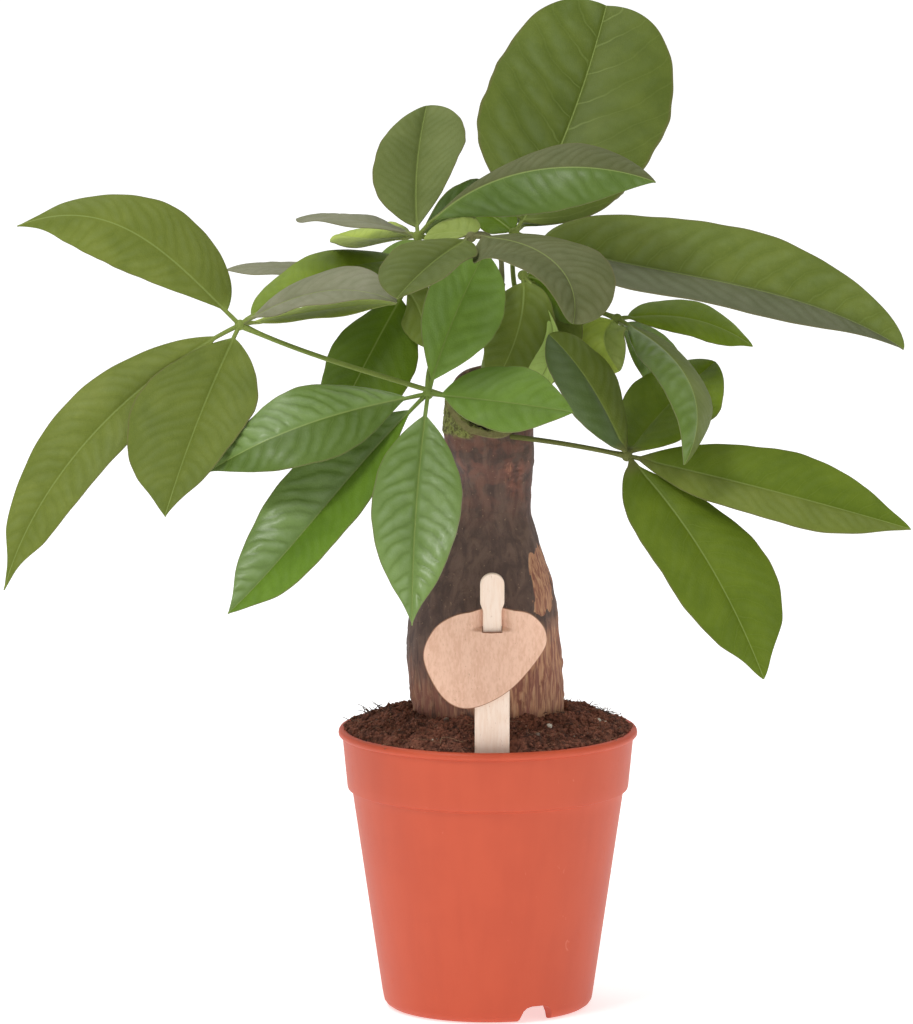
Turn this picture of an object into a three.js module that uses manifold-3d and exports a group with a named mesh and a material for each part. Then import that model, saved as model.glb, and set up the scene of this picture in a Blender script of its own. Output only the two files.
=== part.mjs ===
// A money tree (Pachira aquatica) in a terracotta-coloured plastic nursery pot, with a wooden plant label.
//
// Millimetres, +Z up. The origin is the centre of the pot's flat underside, and -Y is the front of the plant.
// Every piece is a closed solid: the pot, its soil, the woody stump, two green shoots that sprout from the
// stump's cut top, nine palmate leaves, each one petiole with its fan of leaflets, and the label's stick
// and disc.

import * as THREE from 'three';
import { mergeVertices } from 'three/addons/utils/BufferGeometryUtils.js';
import Module from 'manifold-3d';

const wasm = await Module();
wasm.setup();

// ---------------------------------------------------------------- driving dimensions

const CLEARANCE = 0.3; // between neighbouring pieces

const POT = {
  height: 113,
  lipRadius: 60, // a 12 cm nursery pot
  lipHeight: 3.2,
  collarTopRadius: 58.4,
  collarFootRadius: 56.4,
  collarFoot: 88.5, // height of the collar's lower edge
  wallTopRadius: 54.4,
  wallFootRadius: 42.2,
  footRounding: 4.4,
  wall: 1.6,
  floor: 1.8,
  segments: 40,
};
const NOTCH = {
  width: 15,
  height: 6.6,
  reach: 8,
  angles: [28, 148, 268], // degrees to the right of the front
};

const SOIL = { edgeHeight: 112.1, rise: 12, crumb: 0.7, rings: 8, segments: 36 };

// The bottle-shaped stump, from the root end in the soil up to the neck: height, sideways lean, radius.
const STUMP = [
  [62, -1, 11], [80, -1, 21], [100, -0.5, 27], [120, 0, 29.8], [135, -1.2, 30.8], [150, -2.1, 30.5],
  [161, -1.8, 29.4], [173, -0.7, 26.2], [189, 0.3, 20.5], [200, 1.6, 16.1], [208, 2.4, 15.1],
  [216, 2.9, 15.4], [226, 1.5, 17.6], [235, 0.9, 17.8], [245.5, 0.9, 17.3],
];
const STUMP_DEPTH = 0.94; // its front-to-back size as a share of its width
const STUMP_CUT = { from: 216, slope: 0.78, hollow: [[0.86, 1], [0.66, -3.2], [0.36, -8]], floor: -9.5 };
const STUMP_SIDES = 28;

const SHOOT_RADIUS = 2.3;
const PETIOLE_RADIUS = 1.1;
const HUB_RADIUS = 2.4;
const ROUND_SIDES = 8;

const BLADE = {
  thickness: 0.7,
  stalk: 0.07, // share of a leaflet's length that is its bare stalk
  stalkHalf: 0.9,
  rows: 8,
  across: [-1, -0.5, 0, 0.5, 1],
  swell: 0.07, // how far each half bulges upwards, as a share of its width
  wave: 0.05,
};

const LABEL = {
  foot: new THREE.Vector3(1.5, -51, 113), // where the stick passes the pot's rim
  lean: 6, // degrees towards the front
  stickThickness: 1.8,
  discThickness: 1.3,
  slot: { width: 9.6, height: 2.2, centre: 49.8 },
  bridgeBulge: 3.6, // how far the strip above the slot bows back behind the stick
};
// Half the stick's width against height above the rim, from its buried point to the head's shoulder.
const STICK = [[-44, 1.2], [-37, 6.9], [36, 6.9], [42, 3.7], [57.5, 3.7], [60.5, 4.8], [67.9, 4.8]];
const STICK_HEAD_RADIUS = 4.8;
// The disc's outline, sideways and up from the stick's foot.
const DISC = [
  [-27.1, 37.6], [-23.8, 49.1], [-16.3, 55.2], [-6.4, 57.5], [9, 57.9], [16.5, 55.6],
  [21.3, 48.8], [19.7, 40.6], [7, 25.3], [-8.4, 17.8], [-19.4, 22.1],
];

// Leaf places are set out as a viewer in front of the plant sights them: millimetres across and up in the
// sight plane, then the true distance behind (+) or in front of (-) the pot's axis.
const SIGHT = { rise: 9, distance: 4000, across: -12.6, up: 196.4, height: 200.4 };

// Shoots: the points that each passes through.
const SHOOTS = {
  shoot_main: [[-3, 226, 0], [0.5, 260, 2], [5, 288, 2]],
  shoot_side: [[7, 230, 4], [11, 260, 13], [12, 284, 14]],
};

/**
 * One half of a leaflet's blade: its width at the widest, the degrees by which it turns away from the viewer
 * (a pair where it twists from base to tip), how bluntly it starts and ends, how far its margin is swept
 * towards the tip as a share of its width, and how much further it is swept at the tip itself.
 */
const half = (width, turn, start, end, sweep = 0, lobe = 0) => {
  const twist = Array.isArray(turn) ? turn : [turn, turn];
  return { width, twist, start, end, sweep, lobe };
};

// Leaves: the petiole's points from its foot to the hub, then the leaflets. A leaflet has the points of its
// midrib after the hub, its two halves, as seen with the tip held upwards, and how far its tip is drawn in.
const LEAVES = {
  leaf_a: {
    petiole: [[-4, 238.5, 4], [-35.7, 248.7, -20], [-67.4, 258.6, -28], [-99.2, 271.2, -30]],
    leaflets: [
      {
        rib: [[-125.2, 296.4, -36], [-153.6, 313.2, -40], [-188.4, 310.8, -38]],
        left: half(16, [-20, 0], 1.15, 0.95),
        right: half(22, [36, 44], 0.55, 1.25),
        drip: 0.3,
      },
      {
        rib: [[-140, 244.8, -38], [-173.2, 208.4, -50], [-193.6, 165.2, -62]],
        left: half(15, -30, 0.95, 0.85, -0.1),
        right: half(17, [24, 14], 0.95, 1.15),
        drip: 0.5,
      },
      {
        rib: [[-115.6, 234, -52], [-129.2, 194.8, -84]],
        left: half(23, -34, 0.8, 1.1),
        right: half(27, 14, 0.95, 0.95),
        drip: 0.2,
      },
      {
        rib: [[-66, 291, 6], [-32, 297, 30]],
        left: half(18, 60, 0.85, 0.8),
        right: half(18, -50, 0.85, 0.8),
      },
      {
        rib: [[-66.4, 284.6, -48], [-36.4, 280.4, -66]],
        left: half(17, 58, 1, 0.9),
        right: half(17, -70, 1, 0.9),
      },
      {
        rib: [[-66.4, 277.2, -36], [-37, 280, -50]],
        left: half(10, 70, 0.9, 0.8),
        right: half(10, -70, 0.9, 0.8),
        rows: 6,
      },
    ],
  },
  leaf_b: {
    petiole: [[-2, 276, 0], [-19.5, 262, -32], [-24, 243.6, -45]],
    stalk: 0.09,
    leaflets: [
      {
        rib: [[-54.4, 237.2, -60], [-84, 227.2, -72], [-112, 212.4, -64]],
        left: half(18, -26, 1.2, 1.25),
        right: half(19.5, 42, 0.95, 1.05),
      },
      {
        rib: [[-50.8, 215.6, -58], [-79.2, 182.4, -74], [-104, 156, -92]],
        left: half(21.4, -52, 1.15, 0.9),
        right: half(20.5, 18, 0.95, 1.1),
        drip: 0.2,
      },
      {
        rib: [[-28.8, 197.6, -82], [-30.4, 151.2, -108]],
        left: half(18.5, -16, 1, 1.2),
        right: half(18.5, -18, 1, 1.2),
        drip: 0.2,
      },
      {
        rib: [[-14.2, 272.4, -34], [-1.2, 300.4, -18]],
        left: half(18.5, -40, 1, 0.65),
        right: half(18.5, 12, 1, 0.65),
      },
      {
        rib: [[5.2, 240.6, -66], [34, 236.4, -82]],
        left: half(19, 38, 0.6, 0.95),
        right: half(18, -50, 1.2, 0.9),
      },
    ],
  },
  leaf_c: {
    petiole: [[4, 284, 2], [-12, 300, -2], [-28, 306.8, -8]],
    leaflets: [
      {
        rib: [[-28.6, 332.5, 20], [-24.5, 359, 46]],
        left: half(18.5, -20, 0.8, 0.8, -0.4),
        right: half(19.5, -24, 0.9, 0.55, 0.1),
        rows: 10,
      },
      {
        rib: [[0.4, 328, -24], [34.4, 334.4, -34], [67.2, 328.4, -34]],
        left: half(17, 57, 1.7, 0.9),
        right: half(18, -12, 1.1, 1.1),
      },
      {
        rib: [[-54.4, 313.2, 6], [-76.4, 314, 22]],
        left: half(14, -78, 0.8, 0.8),
        right: half(14, 78, 0.8, 0.8),
      },
      {
        rib: [[-48, 306, 26], [-60, 307.6, 44]],
        left: half(12, -70, 0.8, 0.8),
        right: half(12, 55, 0.8, 0.8),
        rows: 6,
      },
      {
        rib: [[-13, 317, 10], [1, 323.5, 24]],
        left: half(11, -40, 0.8, 0.6),
        right: half(11, 25, 0.8, 0.6),
        rows: 6,
      },
    ],
  },
  leaf_m: {
    petiole: [[5, 288, 2], [4, 302, -6], [-1.5, 307.5, -20], [-6.8, 306.4, -34]],
    leaflets: [
      {
        rib: [[-22.4, 296, -62], [-36.4, 282, -86]],
        left: half(20, -62, 0.85, 0.6),
        right: half(16.5, 32, 0.85, 0.6),
      },
      {
        rib: [[15.5, 303, -60], [31, 291, -84], [34, 271.6, -96]],
        left: half(20, [78, 10], 0.9, 0.6),
        right: half(27, -55, 0.6, 0.65),
      },
      {
        rib: [[-14.8, 308.4, -24], [-25.5, 306.2, -14]],
        left: half(11, -50, 0.5, 0.7),
        right: half(11, 50, 0.5, 0.7),
        rows: 6,
      },
    ],
  },
  leaf_d: {
    petiole: [[12, 281, 14], [9.9, 293, 9], [10.5, 308, -2]],
    leaflets: [
      {
        rib: [[30.8, 347.2, 44], [47.4, 399, 86]],
        left: half(39, -20, 0.6, 0.45, -0.3, 0.28),
        right: half(38, -12, 0.6, 0.46, 0.06, 0.05),
        rows: 12,
      },
      {
        rib: [[62.8, 294.4, -8], [116.4, 283, -6], [166.4, 261.6, 4]],
        left: half(26, 28, 0.5, 0.6),
        right: half(26, -65, 0.75, 1.05),
        rows: 9,
      },
      {
        rib: [[30, 326, 60], [42, 338, 115]],
        left: half(22, 40, 0.8, 0.7),
        right: half(22, -30, 0.8, 0.7),
        rows: 6,
      },
      {
        rib: [[3.5, 313.6, 4], [-7.5, 320.5, 9]],
        left: half(8, -30, 0.7, 0.7),
        right: half(8, 20, 0.7, 0.7),
        rows: 6,
      },
    ],
  },
  leaf_e: {
    petiole: [[-1, 227.5, -3], [27, 224.2, -28], [55.6, 218.8, -35]],
    stalk: 0.035,
    leaflets: [
      {
        rib: [[41.2, 247.2, -36], [24.4, 267.6, -34]],
        left: half(16, -40, 0.7, 0.65),
        right: half(16, 50, 0.7, 0.65),
      },
      {
        rib: [[71, 238, -8], [91, 256.6, 14]],
        left: half(21, 44, 0.75, 0.55),
        right: half(23, -46, 0.75, 0.55, -0.35),
      },
      {
        rib: [[112.4, 205.2, -46], [169.2, 189.6, -46]],
        left: half(19.5, 30, 0.9, 0.85),
        right: half(19, -52, 0.9, 0.9),
        drip: 0.2,
      },
      {
        rib: [[86.4, 179, -62], [110.4, 129.6, -78]],
        left: half(22.5, 20, 1.35, 0.85),
        right: half(23, -36, 0.6, 0.75),
        drip: 0.3,
      },
    ],
  },
  leaf_f: {
    petiole: [[11.5, 272, 14], [32, 278, 6], [51.6, 273.6, -6]],
    leaflets: [
      {
        rib: [[80.8, 273.8, 8], [106, 262.8, 18]],
        left: half(13, 57, 0.75, 0.8),
        right: half(10, -42, 0.75, 0.8),
        drip: 0.2,
      },
      {
        rib: [[72, 260, -34], [83.2, 240.4, -56], [78.6, 215.2, -68]],
        left: half(15, 70, 0.8, 0.8),
        right: half(15, -40, 0.8, 0.8),
      },
      {
        rib: [[46.4, 265.2, -14], [52.8, 252.8, -18]],
        left: half(14, -50, 0.8, 0.7),
        right: half(16, 20, 0.8, 0.7),
        rows: 6,
      },
      {
        rib: [[68, 256, 30], [84, 240, 62]],
        left: half(13, 40, 0.8, 0.7),
        right: half(13, -40, 0.8, 0.7),
        rows: 6,
      },
    ],
  },
  leaf_h: {
    petiole: [[0.5, 262, 2], [-18, 276, 20], [-33.2, 285.2, 30]],
    leaflets: [
      {
        rib: [[-47.5, 259, 20], [-64, 226, 8]],
        left: half(20, -10, 0.8, 0.75),
        right: half(20, 42, 0.8, 0.75),
      },
      {
        rib: [[-71.2, 293, 46], [-104.8, 293.4, 52]],
        left: half(14, -75, 0.8, 0.8),
        right: half(14, 75, 0.8, 0.8),
      },
      {
        rib: [[-27.5, 277, 18], [-24, 262, 10]],
        left: half(10, -20, 0.8, 0.7),
        right: half(10, 30, 0.8, 0.7),
        rows: 6,
      },
      {
        rib: [[-58, 288, 78], [-74, 284, 116]],
        left: half(16, -50, 0.8, 0.8),
        right: half(16, 50, 0.8, 0.8),
        rows: 6,
      },
      {
        rib: [[-38, 294, 82], [-48, 290, 126]],
        left: half(18, -50, 0.8, 0.8),
        right: half(18, 50, 0.8, 0.8),
        rows: 6,
      },
    ],
  },
  leaf_i: {
    petiole: [[11.3, 264, 13], [14, 279, 4], [14, 291, -7]],
    leaflets: [
      {
        rib: [[12, 269, -20], [1.5, 246, -20]],
        left: half(15, -20, 0.6, 0.6),
        right: half(16, 26, 0.34, 0.6),
      },
      {
        rib: [[27, 285, -14], [35.5, 271.5, -20]],
        left: half(12, -30, 0.8, 0.7),
        right: half(11, 40, 0.8, 0.7),
        rows: 6,
      },
      {
        rib: [[26, 266, -26], [14.8, 242.4, -26]],
        left: half(6.5, -40, 2.6, 0.8),
        right: half(6.5, 10, 2.6, 0.8),
        rows: 6,
      },
      {
        rib: [[33, 294, 30], [50, 299, 74]],
        left: half(15, 50, 1.5, 0.8),
        right: half(15, -50, 1.5, 0.8),
        rows: 6,
      },
      {
        rib: [[26.5, 270, -12], [18, 246, -12]],
        left: half(12, -20, 0.6, 0.7),
        right: half(13, 28, 0.6, 0.7),
        rows: 6,
      },
    ],
  },
};

const COLOURS = {
  pot: { color: 0xcd6148, roughness: 0.55 },
  soil: { color: 0x3f2a22, roughness: 1 },
  bark: { color: 0x58463f, roughness: 0.9 },
  stem: { color: 0x82963f, roughness: 0.5 },
  leaf: { color: 0x4f7030, roughness: 0.4 },
  stick: { color: 0xf0d8b8, roughness: 0.7 },
  disc: { color: 0xe2be9f, roughness: 0.7 },
};

// ---------------------------------------------------------------- solids

const radians = THREE.MathUtils.degToRad;

/** A manifold solid from a closed three.js geometry; faces of no area, such as a lathe's at its axis, go. */
function toSolid(geometry) {
  const bare = geometry.clone();
  bare.deleteAttribute('normal');
  bare.deleteAttribute('uv');
  const merged = mergeVertices(bare, 1e-4);
  const faces = [];
  for (let i = 0; i < merged.index.count; i += 3) {
    const [a, b, c] = [0, 1, 2].map((k) => merged.index.getX(i + k));
    if (a !== b && b !== c && c !== a) faces.push(a, b, c);
  }
  return new wasm.Manifold(new wasm.Mesh({
    numProp: 3,
    vertProperties: new Float32Array(merged.attributes.position.array),
    triVerts: new Uint32Array(faces),
  }));
}

/** The solid's largest single body, as a geometry: crumbs that a cut leaves behind are dropped. */
function toGeometry(solid) {
  const bodies = solid.decompose().sort((a, b) => b.volume() - a.volume());
  const { vertProperties, triVerts } = bodies[0].getMesh();
  const geometry = new THREE.BufferGeometry();
  geometry.setAttribute('position', new THREE.BufferAttribute(new Float32Array(vertProperties), 3));
  geometry.setIndex(new THREE.BufferAttribute(new Uint32Array(triVerts), 1));
  geometry.computeVertexNormals();
  return geometry;
}

/** A geometry from points and triangles of point numbers. */
function facets(points, faces) {
  const geometry = new THREE.BufferGeometry();
  geometry.setAttribute('position', new THREE.Float32BufferAttribute(points.flatMap((p) => p.toArray()), 3));
  geometry.setIndex(faces.flat());
  return geometry;
}

function mesh(name, geometry, finish) {
  const material = new THREE.MeshStandardMaterial({ ...COLOURS[finish], metalness: 0 });
  const result = new THREE.Mesh(geometry, material);
  result.name = name;
  return result;
}

/** The point that the viewer in front sights at `across` and `up`, lying `behind` the pot's axis. */
function sighted([across, up, behind]) {
  const [sin, cos] = [Math.sin(radians(SIGHT.rise)), Math.cos(radians(SIGHT.rise))];
  const side = across - SIGHT.across;
  const lift = up - SIGHT.up;
  const z = (lift + behind * ((lift * cos) / SIGHT.distance - sin)) / (cos + (lift * sin) / SIGHT.distance);
  const depth = behind * cos - z * sin;
  return new THREE.Vector3(SIGHT.across + side * (1 + depth / SIGHT.distance), behind, SIGHT.height + z);
}

/** The point at t, from 0 to 1, on the smooth curve through evenly spaced points. */
function along(points, t) {
  const last = points.length - 1;
  const sum = new THREE.Vector3();
  points.forEach((point, i) => {
    const others = points.map((_, j) => j).filter((j) => j !== i);
    sum.addScaledVector(point, others.reduce((weight, j) => (weight * (t * last - j)) / (i - j), 1));
  });
  return sum;
}

/** A round rod along the curve through the points. */
function rod(points, radius) {
  const steps = 10;
  const path = new THREE.CatmullRomCurve3(
    Array.from({ length: steps + 1 }, (_, i) => along(points, i / steps)),
  );
  const section = new THREE.Shape(
    Array.from({ length: ROUND_SIDES }, (_, i) => {
      const turn = (2 * Math.PI * i) / ROUND_SIDES;
      return new THREE.Vector2(radius * Math.cos(turn), radius * Math.sin(turn));
    }),
  );
  return toSolid(new THREE.ExtrudeGeometry(section, { steps, extrudePath: path, bevelEnabled: false }));
}

function ball(centre, radius) {
  const sphere = new THREE.SphereGeometry(radius, ROUND_SIDES, ROUND_SIDES - 2);
  return toSolid(sphere.translate(centre.x, centre.y, centre.z));
}

// ---------------------------------------------------------------- pot and soil

/** Outer radius of the pot's tapered wall at a height below the collar. */
function wallRadius(z) {
  const share = (z - POT.footRounding) / (POT.collarFoot - POT.footRounding);
  return POT.wallFootRadius + share * (POT.wallTopRadius - POT.wallFootRadius);
}

/** The pot's inside, from the middle of its floor to the rim, `gap` clear of it: radius, height. */
function potInside(gap = 0) {
  const inner = POT.wall + gap;
  return [
    [0, POT.floor + gap],
    [POT.wallFootRadius - inner - 2.5, POT.floor + gap],
    [POT.wallFootRadius - inner, POT.footRounding + gap],
    [wallRadius(POT.collarFoot - 2) - inner, POT.collarFoot - 2],
    [POT.collarFootRadius - inner, POT.collarFoot + 1],
    [POT.collarTopRadius - inner, POT.height - POT.lipHeight],
  ];
}

function buildPot() {
  const lipFoot = POT.height - POT.lipHeight;
  const outside = [
    [0, 0],
    [POT.wallFootRadius - POT.footRounding, 0],
    [POT.wallFootRadius - 1.2, 1.2],
    [POT.wallFootRadius, POT.footRounding],
    [POT.wallTopRadius, POT.collarFoot - 0.4],
    [POT.collarFootRadius - 0.5, POT.collarFoot],
    [POT.collarFootRadius, POT.collarFoot + 1.2],
    [POT.collarTopRadius, lipFoot],
    [POT.lipRadius - 0.4, lipFoot + 0.3],
    [POT.lipRadius, lipFoot + 1.4],
    [POT.lipRadius - 0.6, POT.height],
    [POT.collarTopRadius - POT.wall + 0.3, POT.height],
  ];
  const profile = [...outside, ...potInside().reverse()].map(([r, z]) => new THREE.Vector2(r, z));
  let pot = toSolid(new THREE.LatheGeometry(profile, POT.segments).rotateX(Math.PI / 2));
  NOTCH.angles.forEach((angle) => {
    pot = pot.subtract(notch(radians(angle)));
  });
  return mesh('pot', toGeometry(pot), 'pot');
}

/** An arched drainage notch that cuts through the pot's foot at `turn` to the right of its front. */
function notch(turn) {
  const arch = new THREE.Shape();
  const half = NOTCH.width / 2;
  arch.moveTo(-half, -1);
  arch.lineTo(half, -1);
  arch.lineTo(half * 0.86, NOTCH.height * 0.55);
  arch.quadraticCurveTo(half * 0.7, NOTCH.height, half * 0.35, NOTCH.height);
  arch.lineTo(-half * 0.35, NOTCH.height);
  arch.quadraticCurveTo(-half * 0.7, NOTCH.height, -half * 0.86, NOTCH.height * 0.55);
  arch.closePath();
  const depth = NOTCH.reach;
  const block = new THREE.ExtrudeGeometry(arch, { depth, bevelEnabled: false, curveSegments: 4 });
  block.rotateX(Math.PI / 2).translate(0, -(POT.wallFootRadius - NOTCH.reach / 2), 0);
  return toSolid(block.rotateZ(turn));
}

/** Height of the soil's heaped surface, with its crumbs. */
function soilHeight(x, y) {
  const radius = Math.hypot(x, y) / (POT.collarTopRadius - POT.wall);
  const heap = SOIL.rise * Math.cos(Math.min(1, radius) * (Math.PI / 2)) ** 0.8;
  const crumbs = Math.sin(x * 0.41 + 2 * Math.sin(y * 0.23)) + Math.sin(y * 0.37 + 1.7 * Math.sin(x * 0.29));
  return SOIL.edgeHeight + heap + SOIL.crumb * crumbs;
}

function buildSoil(holes) {
  const side = potInside(CLEARANCE).slice(1);
  side[side.length - 1][1] = SOIL.edgeHeight;
  const rim = side[side.length - 1][0];
  const rows = side.map(([r, z]) => () => [r, z]);
  for (let i = 1; i < SOIL.rings; i += 1) {
    const r = rim * (1 - i / SOIL.rings);
    rows.push((x, y) => [r, soilHeight(x * r, y * r)]);
  }
  const points = [new THREE.Vector3(0, 0, POT.floor + CLEARANCE)];
  rows.forEach((row) => {
    for (let k = 0; k < SOIL.segments; k += 1) {
      const turn = (2 * Math.PI * k) / SOIL.segments;
      const [r, z] = row(Math.cos(turn), Math.sin(turn));
      points.push(new THREE.Vector3(r * Math.cos(turn), r * Math.sin(turn), z));
    }
  });
  points.push(new THREE.Vector3(0, 0, soilHeight(0, 0)));
  return mesh('soil', toGeometry(holes.reduce((soil, hole) => soil.subtract(hole),
    toSolid(facets(points, ringFaces(rows.length, SOIL.segments))))), 'soil');
}

/** Faces of a closed skin of rings between a first and a last single point, seen from outside. */
function ringFaces(rings, sides) {
  const at = (ring, k) => 1 + ring * sides + (k % sides);
  const end = 1 + rings * sides;
  const faces = [];
  for (let k = 0; k < sides; k += 1) {
    faces.push([0, at(0, k + 1), at(0, k)]);
    for (let ring = 0; ring < rings - 1; ring += 1) {
      faces.push([at(ring, k), at(ring, k + 1), at(ring + 1, k + 1)]);
      faces.push([at(ring, k), at(ring + 1, k + 1), at(ring + 1, k)]);
    }
    faces.push([at(rings - 1, k), at(rings - 1, k + 1), end]);
  }
  return faces;
}

// ---------------------------------------------------------------- stump and shoots

/** The woody stump, `grow` larger all over: a bottle shape whose slanted, hollowed cut faces the front. */
function stumpSolid(grow = 0) {
  const top = STUMP[STUMP.length - 1];
  const rows = STUMP.map(([z, lean, radius]) => ({ z, lean, radius: radius + grow }));
  rows[0].z -= grow;
  rows[rows.length - 1].z += grow;
  STUMP_CUT.hollow.forEach(([share, lift]) => {
    rows.push({ z: top[0] + lift + grow, lean: top[1], radius: top[2] * share });
  });
  const place = ({ z, lean, radius }, turn) => {
    const ribs = 1 + 0.022 * Math.sin(3 * turn + 0.6 + z / 55) + 0.014 * Math.sin(7 * turn - z / 30);
    const x = radius * ribs * Math.cos(turn);
    const y = radius * ribs * STUMP_DEPTH * Math.sin(turn);
    const cut = THREE.MathUtils.clamp((z - STUMP_CUT.from) / (top[0] - STUMP_CUT.from), 0, 1);
    return new THREE.Vector3(lean + x, y, z + cut * STUMP_CUT.slope * y);
  };
  const points = [new THREE.Vector3(rows[0].lean, 0, rows[0].z)];
  rows.forEach((row) => {
    for (let k = 0; k < STUMP_SIDES; k += 1) points.push(place(row, (2 * Math.PI * k) / STUMP_SIDES));
  });
  points.push(new THREE.Vector3(top[1], 0, top[0] + STUMP_CUT.floor + grow));
  return toSolid(facets(points, ringFaces(rows.length, STUMP_SIDES)));
}

const shootSolid = (name, grow = 0) => rod(SHOOTS[name].map(sighted), SHOOT_RADIUS + grow);

// ---------------------------------------------------------------- leaves

/** Width of one half of a leaflet at t, from its base at 0 to its tip at 1. */
function halfWidth(t, { width, start, end }, stalk, drip) {
  const s = THREE.MathUtils.clamp((t - stalk) / (1 - stalk), 0, 1);
  const peak = start / (start + end);
  const share = (s ** start * (1 - s) ** end) / (peak ** start * (1 - peak) ** end);
  const drawn = 1 - drip * THREE.MathUtils.smoothstep(s, 0.82, 0.95);
  return Math.max(width * share * drawn, BLADE.stalkHalf * (1 - 0.6 * t));
}

/** One leaflet as a thin solid: its midrib's curve, with the two halves turned about it. */
function leafletSolid(hub, stalk, { rib, left, right, drip = 0, rows = BLADE.rows }) {
  const line = [hub, ...rib].map(sighted);
  const forward = new THREE.Vector3(0, Math.cos(radians(SIGHT.rise)), -Math.sin(radians(SIGHT.rise)));
  const top = [];
  const under = [];
  for (let row = 0; row <= rows; row += 1) {
    const share = Math.max(0, row - 1) / (rows - 1);
    const eased = 0.3 * share + 0.35 * (1 - Math.cos(Math.PI * share));
    const t = row === 0 ? 0 : stalk + (1 - stalk) * eased;
    const centre = along(line, t);
    const heading = along(line, Math.min(1, t + 0.01)).sub(along(line, Math.max(0, t - 0.01))).normalize();
    const across = forward.clone().cross(heading).normalize();
    const away = heading.clone().cross(across);
    const spread = (side, sign) => {
      const turn = radians(THREE.MathUtils.lerp(...side.twist, t));
      const out = away.clone().multiplyScalar(Math.sin(turn)).addScaledVector(across, sign * Math.cos(turn));
      const normal = out.clone().multiplyScalar(sign).cross(heading).normalize();
      out.addScaledVector(heading, side.sweep + side.lobe * THREE.MathUtils.smoothstep(t, 0.7, 1));
      return { out, normal, width: halfWidth(t, side, stalk, drip) };
    };
    const halves = [spread(left, -1), spread(right, 1)];
    const crest = halves[0].normal.clone().add(halves[1].normal).normalize();
    BLADE.across.forEach((s) => {
      const { out, normal, width } = halves[s < 0 ? 0 : 1];
      const reach = Math.abs(s);
      const up = s === 0 ? crest : normal;
      const swell = 4 * BLADE.swell * reach * (1 - reach);
      const wave = BLADE.wave * reach * reach * Math.sin(4 * Math.PI * t + (s < 0 ? 0 : 2));
      const point = centre.clone().addScaledVector(out, width * reach);
      point.addScaledVector(up, width * (swell + wave));
      top.push(point);
      under.push(point.clone().addScaledVector(up, -BLADE.thickness));
    });
  }
  return toSolid(facets([...top, ...under], sheetFaces(rows, BLADE.across.length - 1)));
}

/** Faces of a sheet with two skins of rows by columns of cells, cut alike and mirrored about the middle. */
function sheetFaces(rows, columns) {
  const wide = columns + 1;
  const below = (rows + 1) * wide;
  const faces = [];
  for (let row = 0; row < rows; row += 1) {
    for (let column = 0; column < columns; column += 1) {
      const [a, b] = [row * wide + column, row * wide + column + 1];
      const [c, d] = [b + wide, a + wide];
      const cell = column < columns / 2 ? [[a, b, d], [b, c, d]] : [[a, b, c], [a, c, d]];
      cell.forEach(([p, q, r]) => faces.push([p, q, r], [r + below, q + below, p + below]));
    }
    [[0, 1], [columns, -1]].forEach(([column, sign]) => {
      const [a, d] = [row * wide + column, (row + 1) * wide + column];
      const wall = [[a, d, d + below], [a, d + below, a + below]];
      wall.forEach((face) => faces.push(sign > 0 ? face : face.reverse()));
    });
  }
  for (let column = 0; column < columns; column += 1) {
    [[0, -1], [rows, 1]].forEach(([row, sign]) => {
      const [a, b] = [row * wide + column, row * wide + column + 1];
      const wall = [[a, b, b + below], [a, b + below, a + below]];
      wall.forEach((face) => faces.push(sign > 0 ? face : face.reverse()));
    });
  }
  return faces;
}

/** A whole palmate leaf, cut back to stand clear of the pieces that it grows from. */
function buildLeaf(name, { petiole, leaflets, stalk = BLADE.stalk }, carriers) {
  const hub = petiole[petiole.length - 1];
  const parts = [
    rod(petiole.map(sighted), PETIOLE_RADIUS),
    ball(sighted(hub), HUB_RADIUS),
    ...leaflets.map((leaflet) => leafletSolid(hub, stalk, leaflet)),
  ];
  const whole = parts.reduce((sum, piece) => sum.add(piece));
  return mesh(name, toGeometry(carriers.reduce((leaf, carrier) => leaf.subtract(carrier), whole)), 'leaf');
}

// ---------------------------------------------------------------- label

/** The stick's flat shape, `grow` larger all round. */
function stickGeometry(grow = 0) {
  const shape = new THREE.Shape();
  const [footHeight, footHalf] = STICK[0];
  shape.moveTo(footHalf + grow, footHeight - grow);
  STICK.slice(1).forEach(([z, half]) => shape.lineTo(half + grow, z));
  const shoulder = STICK[STICK.length - 1][0];
  shape.absarc(0, shoulder, STICK_HEAD_RADIUS + grow, 0, Math.PI, false);
  STICK.slice().reverse().forEach(([z, half], i) => {
    shape.lineTo(-half - grow, i === STICK.length - 1 ? z - grow : z);
  });
  const depth = LABEL.stickThickness + 2 * grow;
  const geometry = new THREE.ExtrudeGeometry(shape, { depth, bevelEnabled: false, curveSegments: 10 });
  return geometry.rotateX(Math.PI / 2).translate(0, depth / 2, 0);
}

/** How far the disc's strip above the slot stands back at a place on it. */
function bridge(x, z) {
  const side = LABEL.slot.width / 2;
  const aside = THREE.MathUtils.smoothstep(Math.abs(x), side - 0.8, side + 5.5);
  return z > LABEL.slot.centre ? LABEL.bridgeBulge * (1 - aside) : 0;
}

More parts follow.
